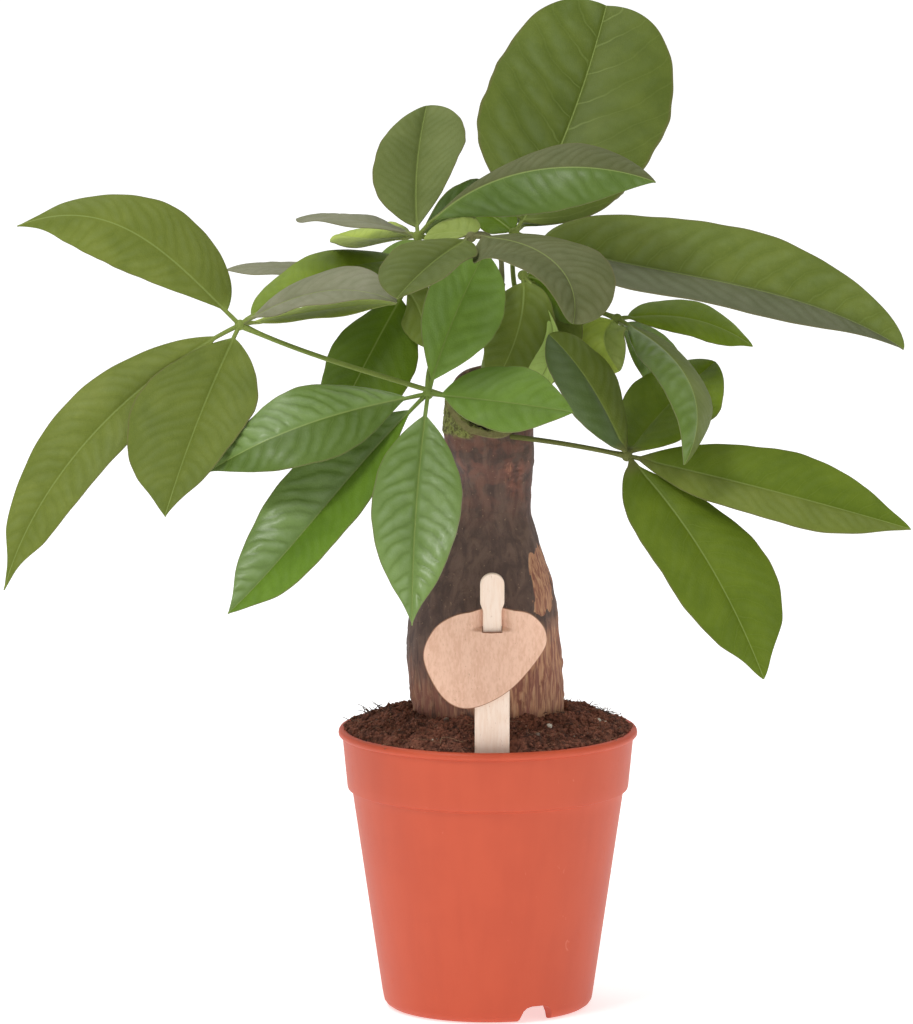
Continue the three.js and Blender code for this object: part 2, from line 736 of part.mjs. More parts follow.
/** The disc: a bowed sheet trimmed to its outline, with the slot that the stick is threaded through. */
function discSolid() {
  const [left, right, low] = [-30, 26, 14];
  const columns = [left, -14, -9.5, -6.5, -4, 4, 6.5, 9.5, 14, right];
  const heights = [low, LABEL.slot.centre - 0.02, LABEL.slot.centre + 0.02, 62];
  const skin = (back) => heights.flatMap(
    (z) => columns.map((x) => new THREE.Vector3(x, back + bridge(x, z), z)),
  );
  const sheet = toSolid(facets(
    [...skin(-LABEL.discThickness), ...skin(0)],
    sheetFaces(heights.length - 1, columns.length - 1),
  ));
  const rim = new THREE.SplineCurve([...DISC, DISC[0]].map(([x, z]) => new THREE.Vector2(x, z)));
  const plate = new THREE.ExtrudeGeometry(new THREE.Shape(rim.getPoints(33).slice(0, -1)), {
    depth: 20, bevelEnabled: false,
  });
  const slot = new THREE.BoxGeometry(LABEL.slot.width, 20, LABEL.slot.height);
  return sheet
    .intersect(toSolid(plate.rotateX(Math.PI / 2).translate(0, 10, 0)))
    .subtract(toSolid(slot.translate(0, 0, LABEL.slot.centre)));
}

function buildLabel() {
  const label = new THREE.Group();
  label.position.copy(LABEL.foot);
  label.rotation.x = radians(LABEL.lean);
  const disc = mesh('label_disc', toGeometry(discSolid()), 'disc');
  disc.position.y = -(LABEL.stickThickness / 2 + CLEARANCE);
  label.add(mesh('label_stick', stickGeometry(), 'stick'), disc);
  label.updateMatrixWorld(true);
  return label;
}

// ---------------------------------------------------------------- the plant

const plant = new THREE.Group();
const label = buildLabel();
const stumpRoom = stumpSolid(CLEARANCE);
const stickRoom = toSolid(stickGeometry(CLEARANCE).applyMatrix4(label.matrixWorld));

plant.add(buildPot());
plant.add(buildSoil([stumpRoom, stickRoom]));
plant.add(mesh('stump', toGeometry(stumpSolid()), 'bark'));
Object.keys(SHOOTS).forEach((name) => {
  plant.add(mesh(name, toGeometry(shootSolid(name).subtract(stumpRoom)), 'stem'));
});
const carriers = [stumpRoom, ...Object.keys(SHOOTS).map((name) => shootSolid(name, CLEARANCE))];
Object.entries(LEAVES).forEach(([name, leaf]) => plant.add(buildLeaf(name, leaf, carriers)));
plant.add(label);

export default plant;
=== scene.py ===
"""A money tree in a plastic nursery pot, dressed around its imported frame.

The pot, the peat, the stump, two shoots, nine palmate leaves and a wooden plant label are each built here in
finer form than their solids, in the same frame: the origin is the middle of the pot's underside, +Z is up and
-Y is the front. Sizes in the classes are millimetres; `MM` turns them into Blender's metres.
"""

import sys

import logging
import math
from dataclasses import dataclass
from enum import Enum
from typing import Any, Callable, Sequence

import bpy
import numpy as np
from mathutils import Matrix, Vector, noise


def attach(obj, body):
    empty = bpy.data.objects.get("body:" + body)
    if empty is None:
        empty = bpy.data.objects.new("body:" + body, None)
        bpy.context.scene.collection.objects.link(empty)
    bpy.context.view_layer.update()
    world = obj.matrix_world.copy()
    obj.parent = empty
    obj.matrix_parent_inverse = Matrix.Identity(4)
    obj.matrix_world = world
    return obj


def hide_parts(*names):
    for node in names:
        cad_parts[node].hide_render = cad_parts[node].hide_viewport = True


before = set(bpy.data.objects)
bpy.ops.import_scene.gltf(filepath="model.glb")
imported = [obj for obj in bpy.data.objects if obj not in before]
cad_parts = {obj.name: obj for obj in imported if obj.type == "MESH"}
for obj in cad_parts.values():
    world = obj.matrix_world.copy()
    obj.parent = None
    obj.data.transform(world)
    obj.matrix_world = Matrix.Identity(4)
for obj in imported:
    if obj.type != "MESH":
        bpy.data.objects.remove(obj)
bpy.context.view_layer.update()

MM = 0.001
LOG = logging.getLogger("money_tree")

Point = tuple[float, float, float]
Value = Any  # a number, a colour, a vector or a Flow


# ---------------------------------------------------------------- arithmetic


def smoothstep(low: float, high: float, value: Any) -> Any:
    """Ease a number or an array from 0 at `low` to 1 at `high`."""
    share = np.clip((value - low) / (high - low), 0.0, 1.0)
    return share * share * (3.0 - 2.0 * share)


def blend(first: Any, second: Any, share: Any) -> Any:
    """Go from `first` at a share of 0 to `second` at 1."""
    return first + (second - first) * share


def unit(vectors: np.ndarray) -> np.ndarray:
    """Scale each vector of an array to a length of 1."""
    return vectors / np.linalg.norm(vectors, axis=-1, keepdims=True)


def srgb(red: int, green: int, blue: int) -> tuple[float, float, float, float]:
    """Turn a colour in screen values from 0 to 255 into Blender's linear one."""
    linear = [
        value / 12.92 if value <= 0.04045 else ((value + 0.055) / 1.055) ** 2.4
        for value in (red / 255, green / 255, blue / 255)
    ]
    return (*linear, 1.0)


def along(points: np.ndarray, places: np.ndarray) -> np.ndarray:
    """Find points on the smooth curve through evenly spaced points.

    Args:
        points: the points that the curve passes through, one a row.
        places: positions from 0, the first point, to 1, the last.

    Returns:
        One point a row for each place.
    """
    last = len(points) - 1
    total = np.zeros((len(places), 3))
    for i, point in enumerate(points):
        weight = np.ones(len(places))
        for j in range(len(points)):
            if j != i:
                weight = weight * (places * last - j) / (i - j)
        total += weight[:, None] * point
    return total


def rounded(knots: Sequence[Sequence[float]], places: np.ndarray) -> np.ndarray:
    """Interpolate rows of numbers smoothly over their row numbers.

    Args:
        knots: rows of numbers, such as height, lean and radius.
        places: positions from 0, the first row, to the last row's number.

    Returns:
        One interpolated row for each place.
    """
    rows = np.asarray(knots, dtype=float)
    last = len(rows) - 1
    padded = np.vstack([2 * rows[0] - rows[1], rows, 2 * rows[-1] - rows[-2]])
    index = np.clip(np.floor(places).astype(int), 0, last - 1)
    share = (places - index)[:, None]
    before, start, end, after = (padded[index + k] for k in range(4))
    return 0.5 * (
        2 * start
        + (end - before) * share
        + (2 * before - 5 * start + 4 * end - after) * share**2
        + (3 * start - before - 3 * end + after) * share**3
    )


def turns(count: int) -> np.ndarray:
    """List the angles of `count` even places round a circle."""
    return 2 * np.pi * np.arange(count) / count


def circle(radius: float, height: float, count: int) -> np.ndarray:
    """Place `count` points round a level circle."""
    angles = turns(count)
    return np.stack([radius * np.cos(angles), radius * np.sin(angles), np.full(count, height)], axis=1)


def rough(point: Sequence[float], size: float, seed: float = 0.0, octaves: int = 3) -> float:
    """Give a smooth random number, about -1 to 1, that varies over `size` millimetres."""
    place = Vector((point[0] / size + seed, point[1] / size - seed, point[2] / size + 2 * seed))
    return noise.fractal(place, 1.0, 2.0, octaves)


# ---------------------------------------------------------------- nodes


def math_node(operation: str, flipped: bool = False) -> Callable[..., "Flow"]:
    """Make a method of `Flow` that adds a Math node.

    Args:
        operation: what the node does.
        flipped: whether the other value comes first.

    Returns:
        The method.
    """

    def method(self: "Flow", other: Value = 0.0) -> "Flow":
        """Work on the number and another value."""
        first, second = (other, self) if flipped else (self, other)
        return self.board.flow("ShaderNodeMath", {"operation": operation}, {0: first, 1: second})

    return method


class Flow:
    """A number that flows through a node tree, with Python's operators."""

    __add__ = __radd__ = math_node("ADD")
    __sub__ = math_node("SUBTRACT")
    __rsub__ = math_node("SUBTRACT", True)
    __mul__ = __rmul__ = math_node("MULTIPLY")
    __truediv__ = math_node("DIVIDE")
    __pow__ = math_node("POWER")
    fraction = math_node("FRACT")
    absolute = math_node("ABSOLUTE")

    def __init__(self, board: "Board", socket: bpy.types.NodeSocket) -> None:
        """Wrap an output socket of the board's tree."""
        self.board, self.socket = board, socket

    def eased(self, low: float, high: float, start: float = 0.0, end: float = 1.0) -> "Flow":
        """Ease from `start` where the number is `low` to `end` where it is `high`."""
        return self.board.flow(
            "ShaderNodeMapRange",
            {"interpolation_type": "SMOOTHSTEP"},
            {"Value": self, "From Min": low, "From Max": high, "To Min": start, "To Max": end},
        )


class Board:
    """A node tree under construction."""

    def __init__(self, tree: bpy.types.NodeTree) -> None:
        """Start on an emptied tree."""
        self.tree = tree
        tree.nodes.clear()

    def node(
        self, kind: str, settings: dict[str, Any] | None = None, inputs: dict[Any, Value] | None = None
    ) -> bpy.types.Node:
        """Add a node.

        Args:
            kind: the node's type.
            settings: its properties, set first.
            inputs: values, flows or sockets for its inputs, by name or number.

        Returns:
            The node.
        """
        node = self.tree.nodes.new(kind)
        for name, value in (settings or {}).items():
            setattr(node, name, value)
        self.feed(node, inputs or {})
        return node

    def feed(self, node: bpy.types.Node, inputs: dict[Any, Value]) -> None:
        """Set or link a node's inputs."""
        for key, value in inputs.items():
            if isinstance(value, Flow):
                value = value.socket
            if isinstance(value, bpy.types.NodeSocket):
                self.tree.links.new(value, node.inputs[key])
            else:
                node.inputs[key].default_value = value

    def flow(
        self, kind: str, settings: dict[str, Any] | None, inputs: dict[Any, Value], output: Any = 0
    ) -> Flow:
        """Add a node and return one of its outputs."""
        return Flow(self, self.node(kind, settings, inputs).outputs[output])

    def mix(self, share: Value, first: Value, second: Value, how: str = "MIX") -> Flow:
        """Mix two colours, from the first at a share of 0 to the second at 1."""
        settings = {"data_type": "RGBA", "blend_type": how}
        return self.flow("ShaderNodeMix", settings, {0: share, 6: first, 7: second}, 2)

    def coats(self, colour: Value, *coats: tuple) -> Flow:
        """Lay coats over a colour, each given as its share, its colour and how it mixes."""
        for share, *rest in coats:
            colour = self.mix(share, colour, *rest)
        return colour

    def attribute(self, name: str) -> tuple[Flow, Flow, Flow]:
        """Read the three numbers of a mesh's vector attribute."""
        vector = self.flow("ShaderNodeAttribute", {"attribute_name": name}, {}, "Vector")
        return self.split(vector)

    def split(self, vector: Flow) -> tuple[Flow, Flow, Flow]:
        """Split a vector into its three numbers."""
        parts = self.node("ShaderNodeSeparateXYZ", None, {0: vector})
        return tuple(Flow(self, output) for output in parts.outputs)

    def place(self, scale: Point = (1.0, 1.0, 1.0), shift: Point = (0.0, 0.0, 0.0)) -> Flow:
        """Read the place on the piece, in millimetres times `scale`."""
        coordinates = self.flow("ShaderNodeTexCoord", None, {}, "Object")
        sizes = tuple(value / MM for value in scale)
        return self.flow(
            "ShaderNodeMapping", None, {"Vector": coordinates, "Scale": sizes, "Location": shift}
        )

    def noise(self, place: Flow, size: float, detail: float = 3.0, twist: float = 0.0) -> Flow:
        """Make a smooth random number from 0 to 1 that varies over `size` of the place's units."""
        return self.flow(
            "ShaderNodeTexNoise",
            None,
            {"Vector": place, "Scale": 1.0 / size, "Detail": detail, "Roughness": 0.55, "Distortion": twist},
        )

    def surface(self, colour: Value, roughness: Value, height: Value, depth: float) -> dict[str, Value]:
        """List what a surface feeds its shader.

        Args:
            colour: its colour.
            roughness: its roughness.
            height: its relief, from 0 to 1.
            depth: how deep that relief is, in millimetres.

        Returns:
            Flows for the shader's inputs.
        """
        relief = {"Height": height, "Distance": depth * MM, "Strength": 1.0}
        normal = self.flow("ShaderNodeBump", None, relief)
        return {"Base Color": colour, "Roughness": roughness, "Normal": normal}


# ---------------------------------------------------------------- finishes


@dataclass(frozen=True)
class Finish:
    """What every finish shares: a name, and the shader's own constants as pairs."""

    name: str = "finish"
    constants: tuple[tuple[str, Any], ...] = ()

    def material(self) -> bpy.types.Material:
        """Build the material once, and return it again after that."""
        known = bpy.data.materials.get(self.name)
        if known:
            return known
        material = bpy.data.materials.new(self.name)
        material.use_nodes = True
        board = Board(material.node_tree)
        shader = board.node("ShaderNodeBsdfPrincipled", None, dict(self.constants))
        board.node("ShaderNodeOutputMaterial", None, {"Surface": shader.outputs[0]})
        board.feed(shader, self.paint(board))
        return material

    def paint(self, board: Board) -> dict[str, Value]:
        """Say what varies over the surface.

        Args:
            board: the material's nodes.

        Returns:
            Flows for the shader's inputs: none, on a plain one.
        """
        return {}


@dataclass(frozen=True)
class LeafFinish(Finish):
    """A leaf: each blade's own green between fine veins, a paler midrib, a matt underside, painted shade in
    the grooves and painted sheen on the panels.
    """

    name: str = "leaf_green"
    constants: tuple = (("Specular IOR Level", 0.12), ("Coat Roughness", 0.3), ("Coat IOR", 1.45))
    shadow: tuple = (0.62, 0.68, 0.5, 1.0)  # what darkens a green, as a multiplier: its random darker tone and the painted shade in its grooves
    bright: tuple = (1.3, 1.22, 1.5, 1.0)  # what freshens it
    sheen: tuple = srgb(170, 190, 150)  # the sky's light on a bulging panel
    beneath: tuple = srgb(122, 130, 84)
    rib: tuple = srgb(146, 162, 90)
    edge: tuple = srgb(112, 102, 68)

    def paint(self, board: Board) -> dict[str, Value]:
        """Colour by the leaflet's own coordinates, which its mesh carries."""
        side, along_blade, reach_mm = board.attribute("blade")
        phase, drawn, _ = board.attribute("vein")
        gloss, relief, _ = board.attribute("look")
        under, stalk, _ = board.attribute("skin")
        tint = board.flow("ShaderNodeAttribute", {"attribute_name": "tint"}, {}, "Color")
        place = board.place()
        patch = board.noise(place, 20.0, 3.0, 0.6)
        mottle = board.noise(place, 5.5, 3.0)
        grain = board.noise(place, 1.6, 4.0)

        step = phase.fraction()
        off_vein = 0.5 - (step - 0.5).absolute()
        vein = off_vein.eased(0.012, 0.05, 1.0, 0.0)
        inner = reach_mm.eased(0.5, 16.0, 1.0, 0.25)
        rib_width = 0.55 - along_blade * 0.33
        rib = (reach_mm / rib_width).eased(0.55, 1.15, 1.0, 0.0)
        face = (1 - under) * (1 - stalk)

        inland = side.absolute().eased(0.72, 0.98, 1.0, 0.0) * reach_mm.eased(0.5, 2.4) * face
        # painted shade: the band along each vein, darkened in the coats below
        groove = off_vein.eased(0.01, 0.17, 1.0, 0.0) * inland
        # painted highlight: the crest of each panel, lightened towards the sheen where `caught` is high
        crest = step.eased(0.08, 0.4) * step.eased(0.45, 0.95, 1.0, 0.0) * inland
        caught = board.noise(place, 8.0, 2.0, 0.4).eased(0.3, 0.6, 0.25, 1.0)
        colour = board.coats(
            tint,
            (patch.eased(0.35, 0.65, 0.42, 0.0) * face, self.shadow, "MULTIPLY"),
            (patch.eased(0.55, 0.8, 0.0, 0.3) * face, self.bright, "MULTIPLY"),
            (mottle.eased(0.3, 0.7, 0.16, 0.0), self.shadow, "MULTIPLY"),
            (grain.eased(0.45, 0.75, 0.0, 0.22), self.bright, "MULTIPLY"),
            # painted shade in the vein grooves
            (groove * relief * 0.62, self.shadow, "MULTIPLY"),
            # painted sheen, the sky's light, on the panels' crests
            (crest * caught * relief * (0.08 + gloss * 0.23), self.sheen),
            (vein * inner * drawn, self.rib),
            (side.absolute().eased(0.96, 1.0, 0.0, 0.5), self.edge),
            (under * 0.8, self.beneath),
            (rib * (0.45 + drawn) * (1 - stalk), self.rib),
        )

        edges = {"feature": "DISTANCE_TO_EDGE"}
        web = board.flow("ShaderNodeTexVoronoi", edges, {"Vector": place, "Scale": 0.75}).eased(0.0, 0.18)
        ridge = off_vein.eased(0.0, 0.14, 1.0, 0.0) * under
        height = (web * 0.35 + grain * 0.4 + ridge * 2.0) * (1 - stalk * 0.7)
        roughness = 0.56 - gloss * 0.2 + under * 0.15 + grain * 0.08
        return {**board.surface(colour, roughness, height, 0.09), "Coat Weight": gloss * gloss * face}


@dataclass(frozen=True)
class StemFinish(Finish):
    """A smooth green shoot with a brownish foot."""

    name: str = "shoot_green"
    green: tuple = srgb(112, 132, 62)
    brown: tuple = srgb(108, 96, 62)

    def paint(self, board: Board) -> dict[str, Value]:
        """Mottle the green lengthways and brown it towards its foot."""
        _, _, height = board.split(board.place())
        streak = board.noise(board.place((1.0, 1.0, 0.15)), 1.2, 3.0)
        share = streak.eased(0.35, 0.7) * 0.5 + height.eased(228.0, 252.0, 0.5, 0.0)
        return board.surface(board.mix(share, self.green, self.brown), 0.45 + streak * 0.2, streak, 0.15)


@dataclass(frozen=True)
class BarkFinish(Finish):
    """Thin dark bark that has flaked to tan in places, with a green and brown callus round the cut."""

    name: str = "bark_dark"
    constants: tuple = (("Specular IOR Level", 0.25),)
    dark: tuple = srgb(88, 72, 67)
    mid: tuple = srgb(116, 94, 84)
    deep: tuple = srgb(64, 50, 46)
    tan: tuple = srgb(194, 144, 111)
    straw: tuple = srgb(206, 168, 136)
    russet: tuple = srgb(146, 95, 80)
    callus: tuple = srgb(142, 148, 80)
    callus_dark: tuple = srgb(92, 90, 50)
    lip: tuple = srgb(158, 148, 104)
    pith: tuple = srgb(112, 90, 70)
    # near-black, for spots over the inner part of the cut
    cut_black: tuple = srgb(38, 32, 22)

    def paint(self, board: Board) -> dict[str, Value]:
        """Colour by height and place: dark above, fibrous and tan at the foot, callus round the cut."""
        place = board.place()
        across, _, height = board.split(place)
        cut, flake, red = board.attribute("bark")
        green, front, _ = board.attribute("scar")
        cloud = board.noise(place, 14.0, 4.0, 0.4)
        mottle = board.noise(board.place((1.0, 1.0, 0.4)), 4.2, 5.0, 0.6)
        speck = board.noise(place, 1.3, 3.0)
        fibre = board.noise(board.place((1.0, 1.0, 0.11)), 1.3, 5.0, 0.4)
        plate = board.noise(board.place((1.0, 1.0, 0.2), (3.0, 8.0, 1.0)), 6.0, 4.0, 1.2)
        ring = board.noise(board.place((0.3, 0.3, 1.0)), 2.0, 4.0, 0.8)

        upper = height.eased(186.0, 226.0) * board.noise(place, 6.0, 4.0, 0.6).eased(0.4, 0.62)
        streaked, bare = (
            board.coats(
                self.tan,
                (fibre.eased(0.4, brown_from), self.russet),
                (fibre.eased(0.3, pale_to, pale, 0.0), self.straw),
            )
            for brown_from, pale_to, pale in ((0.6, 0.45, 0.6), (0.64, 0.44, 0.55))
        )
        low = (height - across * 0.34 + cloud * 26.0).eased(146.0, 172.0, 1.0, 0.0)
        plates = plate.eased(0.42, 0.52)
        rusty = low * across.eased(-22.0, 4.0, 1.0, 0.0) * mottle.eased(0.36, 0.58)
        colour = board.coats(
            self.dark,
            (mottle.eased(0.34, 0.7), self.mid),
            (cloud.eased(0.5, 0.72, 0.0, 0.2), self.deep),
            (fibre.eased(0.57, 0.72, 0.0, 0.34), self.deep),
            (ring.eased(0.6, 0.72, 0.0, 0.22), self.deep),
            (upper * 0.4 + red * mottle.eased(0.34, 0.52) * 0.36, self.russet),
            (red * fibre.eased(0.3, 0.42, 0.5, 0.0), self.tan),
            (low * (plates * 0.6 + across.eased(2.0, 14.0, 0.14, 0.9)), streaked),
            (rusty * 0.6, self.russet),
            ((flake + fibre * 0.6).eased(0.64, 0.86), bare),
            (speck.eased(0.66, 0.74, 0.0, 0.4), self.straw),
        )

        crumbly = board.noise(place, 1.5, 5.0, 0.8).eased(0.4, 0.6)
        rim = board.mix(crumbly, self.callus, self.callus_dark)
        inner = board.mix(green, board.mix(crumbly, self.pith, self.deep), rim)
        # near-black spots over the inner part of the cut
        black_spots = cut.eased(0.3, 0.5) * board.noise(place, 2.6, 4.0, 0.6).eased(0.4, 0.54)
        colour = board.coats(
            colour,
            (green, rim),
            (cut.eased(0.0, 0.05), inner),
            (front * cut.eased(0.16, 0.26, 0.75, 0.0), self.lip),
            (black_spots, self.cut_black),
        )
        relief = fibre * (0.3 + low * 0.5) + mottle * 0.4 + speck * 0.25 - plates * low * 0.3
        return board.surface(colour, 0.84 - cloud * 0.2, relief, 0.8)


@dataclass(frozen=True)
class PeatFinish(Finish):
    """Dark brown crumbly peat."""

    name: str = "peat_brown"
    constants: tuple = (("Specular IOR Level", 0.2),)
    dark: tuple = srgb(80, 50, 41)
    mid: tuple = srgb(140, 89, 71)
    pale: tuple = srgb(188, 144, 118)

    def paint(self, board: Board) -> dict[str, Value]:
        """Mix dark and paler crumbs."""
        place = board.place()
        crumb = board.noise(place, 2.2, 4.0)
        broad = board.noise(place, 11.0, 2.0)
        colour = board.mix((crumb * 0.7 + broad * 0.3).eased(0.36, 0.62), self.dark, self.mid)
        colour = board.mix(board.noise(place, 1.1, 2.0).eased(0.62, 0.75, 0.0, 0.5), colour, self.pale)
        return board.surface(colour, 0.95 - crumb * 0.1, crumb, 1.2)


@dataclass(frozen=True)
class PlainFinish(Finish):
    """A small loose bit's finish: one colour mottled towards another."""

    name: str = "bit"
    first: tuple = srgb(235, 228, 215)
    second: tuple = srgb(190, 180, 165)
    size: float = 0.8

    def paint(self, board: Board) -> dict[str, Value]:
        """Mottle finely."""
        speck = board.noise(board.place(), self.size, 3.0)
        colour = board.mix(speck.eased(0.35, 0.65), self.first, self.second)
        return board.surface(colour, 0.8 + speck * 0.1, speck, 0.2)


@dataclass(frozen=True)
class PotFinish(Finish):
    """Satin terracotta-coloured plastic, moulded, with faint flow streaks and scuffs."""

    name: str = "pot_terracotta"
    constants: tuple = (("Specular IOR Level", 0.45),)
    clay: tuple = srgb(204, 83, 50)
    deep: tuple = srgb(199, 79, 47)
    scuff: tuple = srgb(228, 150, 126)
    grime: tuple = srgb(120, 62, 44)

    def paint(self, board: Board) -> dict[str, Value]:
        """Streak lightly round the wall, scuff in places and darken where the peat has marked it."""
        place = board.place()
        across, depth, height = board.split(place)
        streak = board.noise(board.place((1.0, 1.0, 0.12)), 9.0, 3.0)
        cloud = board.noise(place, 26.0, 3.0)
        fine = board.noise(place, 0.9, 3.0)
        scuffs = board.noise(board.place((1.0, 1.0, 0.5), (3.0, 1.0, 7.0)), 5.0, 5.0, 1.5)
        radius = (across * across + depth * depth) ** 0.5
        inside = radius.eased(56.4, 57.6, 1.0, 0.0) * height.eased(104.0, 108.0)
        colour = board.coats(
            self.clay,
            ((streak * 0.5 + cloud * 0.5).eased(0.38, 0.64), self.deep),
            (scuffs.eased(0.68, 0.76, 0.0, 0.3), self.scuff),
            (inside * board.noise(place, 3.0, 4.0).eased(0.3, 0.6), self.grime),
        )
        roughness = 0.44 + fine * 0.1 + scuffs.eased(0.6, 0.75, 0.0, 0.12)
        return board.surface(colour, roughness, board.noise(place, 0.5, 2.0), 0.012)


@dataclass(frozen=True)
class WoodFinish(Finish):
    """Pale plain wood with a fine straight grain, browner at a cut edge."""

    name: str = "wood_pale"
    constants: tuple = (("Specular IOR Level", 0.3),)
    pale: tuple = srgb(252, 230, 212)
    grain: tuple = srgb(245, 218, 196)
    cut: tuple = srgb(176, 126, 88)
    stretch: tuple = (1.0, 1.0, 0.06)

    def paint(self, board: Board) -> dict[str, Value]:
        """Draw the grain along the wood and brown its cut edge."""
        edge, _, _ = board.attribute("wood")
        place = board.place(self.stretch)
        line = board.noise(place, 0.9, 4.0, 0.2)
        broad = board.noise(place, 4.5, 3.0, 0.5)
        fleck = board.noise(board.place((1.0, 1.0, 0.3)), 0.5, 2.0)
        colour = board.coats(
            self.pale,
            ((line * 0.6 + broad * 0.4).eased(0.38, 0.64), self.grain),
            (fleck.eased(0.66, 0.74, 0.0, 0.4), self.cut),
            (edge.eased(0.2, 0.9), self.cut),
        )
        return board.surface(colour, 0.62 + line * 0.15, line * 0.7 + fleck * 0.3, 0.07)


@dataclass(frozen=True)
class FloorFinish(Finish):
    """A plain pale studio floor."""

    name: str = "studio_floor"
    constants: tuple = (
        ("Base Color", (0.78, 0.78, 0.78, 1.0)),
        ("Roughness", 0.9),
        ("Specular IOR Level", 0.1),
        ("Emission Color", (1.0, 1.0, 1.0, 1.0)),
        ("Emission Strength", 0.58),
    )


# ---------------------------------------------------------------- meshes


class Draft:
    """One piece while it is put together: points in millimetres, faces, and vectors for its points."""

    def __init__(self, points: Any = (), faces: Any = (), **vectors: np.ndarray) -> None:
        """Start with a first skin, if it is given in the way that `add` takes it."""
        self.points: list[np.ndarray] = []
        self.faces: list[list[int]] = []
        self.vectors: dict[str, list[np.ndarray]] = {}
        self.count = 0
        if len(points):
            self.add(points, faces, **vectors)

    def add(self, points: np.ndarray, faces: Any, **vectors: np.ndarray) -> None:
        """Add a closed skin.

        Args:
            points: its points, one a row.
            faces: its faces, as numbers of those points.
            **vectors: named vectors, one a point, that its finish reads.
        """
        self.points.append(points)
        self.faces.extend([int(number) + self.count for number in face] for face in faces)
        self.count += len(points)
        for name, values in vectors.items():
            self.vectors.setdefault(name, []).append(np.broadcast_to(values, (len(points), 3)))

    def build(self, name: str, finish: Finish, crease: float = 40.0) -> bpy.types.Object:
        """Make the object.

        Args:
            name: the piece's name.
            finish: its finish.
            crease: the angle, in degrees, past which an edge is drawn sharp.

        Returns:
            The object, at the origin, with its place in its mesh.
        """
        mesh = bpy.data.meshes.new(name)
        mesh.from_pydata((np.vstack(self.points) * MM).tolist(), [], self.faces)
        for key, values in self.vectors.items():
            layer = mesh.attributes.new(key, "FLOAT_VECTOR", "POINT")
            layer.data.foreach_set("vector", np.vstack(values).astype(np.float32).ravel())
        mesh.validate()
        smoothed(mesh, crease)
        mesh.materials.append(finish.material())
        piece = bpy.data.objects.new(name, mesh)
        bpy.context.scene.collection.objects.link(piece)
        return piece


def band(low: int, high: int, count: int) -> list[list[int]]:
    """List the faces between two rings of `count` points, by the numbers of the rings' first points."""
    turn = np.arange(count)
    after = (turn + 1) % count
    return np.stack([low + turn, low + after, high + after, high + turn], axis=1).tolist()


def ring_faces(rings: int, sides: int) -> list[list[int]]:
    """List the faces of a skin of rings that is closed by a first and a last single point."""
    top, end = 1 + (rings - 1) * sides, 1 + rings * sides
    around = [(k, (k + 1) % sides) for k in range(sides)]
    faces = [[0, 1 + b, 1 + a] for a, b in around]
    for ring in range(rings - 1):
        faces += band(1 + ring * sides, 1 + (ring + 1) * sides, sides)
    return faces + [[top + a, top + b, end] for a, b in around]


def sheet_faces(rows: int, columns: int) -> np.ndarray:
    """List the faces of a sheet with two skins of rows by columns of cells, and its four edge walls."""
    wide = columns + 1
    below = (rows + 1) * wide
    row, column = np.meshgrid(np.arange(rows), np.arange(columns), indexing="ij")
    a = (row * wide + column).ravel()
    b, c, d = a + 1, a + 1 + wide, a + wide
    parts = [np.stack([a, b, c, d], axis=1), np.stack([d, c, b, a], axis=1) + below]
    down, right = np.arange(rows) * wide, np.arange(columns)
    for start, step, flip in (
        (down, wide, False), (down + columns, wide, True), (right, 1, True), (right + rows * wide, 1, False)
    ):
        wall = np.stack([start, start + step, start + step + below, start + below], axis=1)
        parts.append(wall[:, ::-1] if flip else wall)
    return np.vstack(parts)


def tube(path: np.ndarray, radii: np.ndarray, sides: int) -> tuple[np.ndarray, list[list[int]]]:
    """Make a round rod along a path, with rounded ends.

    Args:
        path: the points of its middle line.
        radii: its radius at each of them.
        sides: how many sides it has.

    Returns:
        Its points and faces.
    """
    heading = unit(np.gradient(path, axis=0))
    normal = unit(np.cross(heading[0], [0.3, 0.9, 0.1]))
    turn = turns(sides)
    rings = []
    for centre, forward, radius in zip(path, heading, radii):
        normal = unit(normal - forward * np.dot(normal, forward))
        second = np.cross(forward, normal)
        rings.append(centre + radius * (np.outer(np.cos(turn), normal) + np.outer(np.sin(turn), second)))
    first = path[0] - heading[0] * radii[0] * 0.5
    last = path[-1] + heading[-1] * radii[-1] * 0.5
    return np.vstack([first, *rings, last]), ring_faces(len(path), sides)


def smoothed(mesh: bpy.types.Mesh, crease: float) -> None:
    """Shade a mesh smooth, apart from edges that bend by more than `crease` degrees."""
    mesh.shade_smooth()
    mesh.set_sharp_from_angle(angle=math.radians(crease))


def keep(piece: bpy.types.Object, slot: str, *nodes: str) -> bpy.types.Object:
    """Hand a finished piece over: hang it from the root and hide the nodes that it stands for; `slot` is not
    used.
    """
    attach(piece, "root")
    if nodes:
        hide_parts(*nodes)
    LOG.info("%s: %d faces", piece.name, len(piece.data.polygons))
    return piece


def applied(piece: bpy.types.Object) -> bpy.types.Object:
    """Turn a piece's modifiers into its mesh."""
    evaluated = piece.evaluated_get(bpy.context.evaluated_depsgraph_get())
    mesh = bpy.data.meshes.new_from_object(evaluated)
    piece.modifiers.clear()
    old, piece.data = piece.data, mesh
    mesh.name = piece.name
    bpy.data.meshes.remove(old)
    return piece


# ---------------------------------------------------------------- the viewer's sight


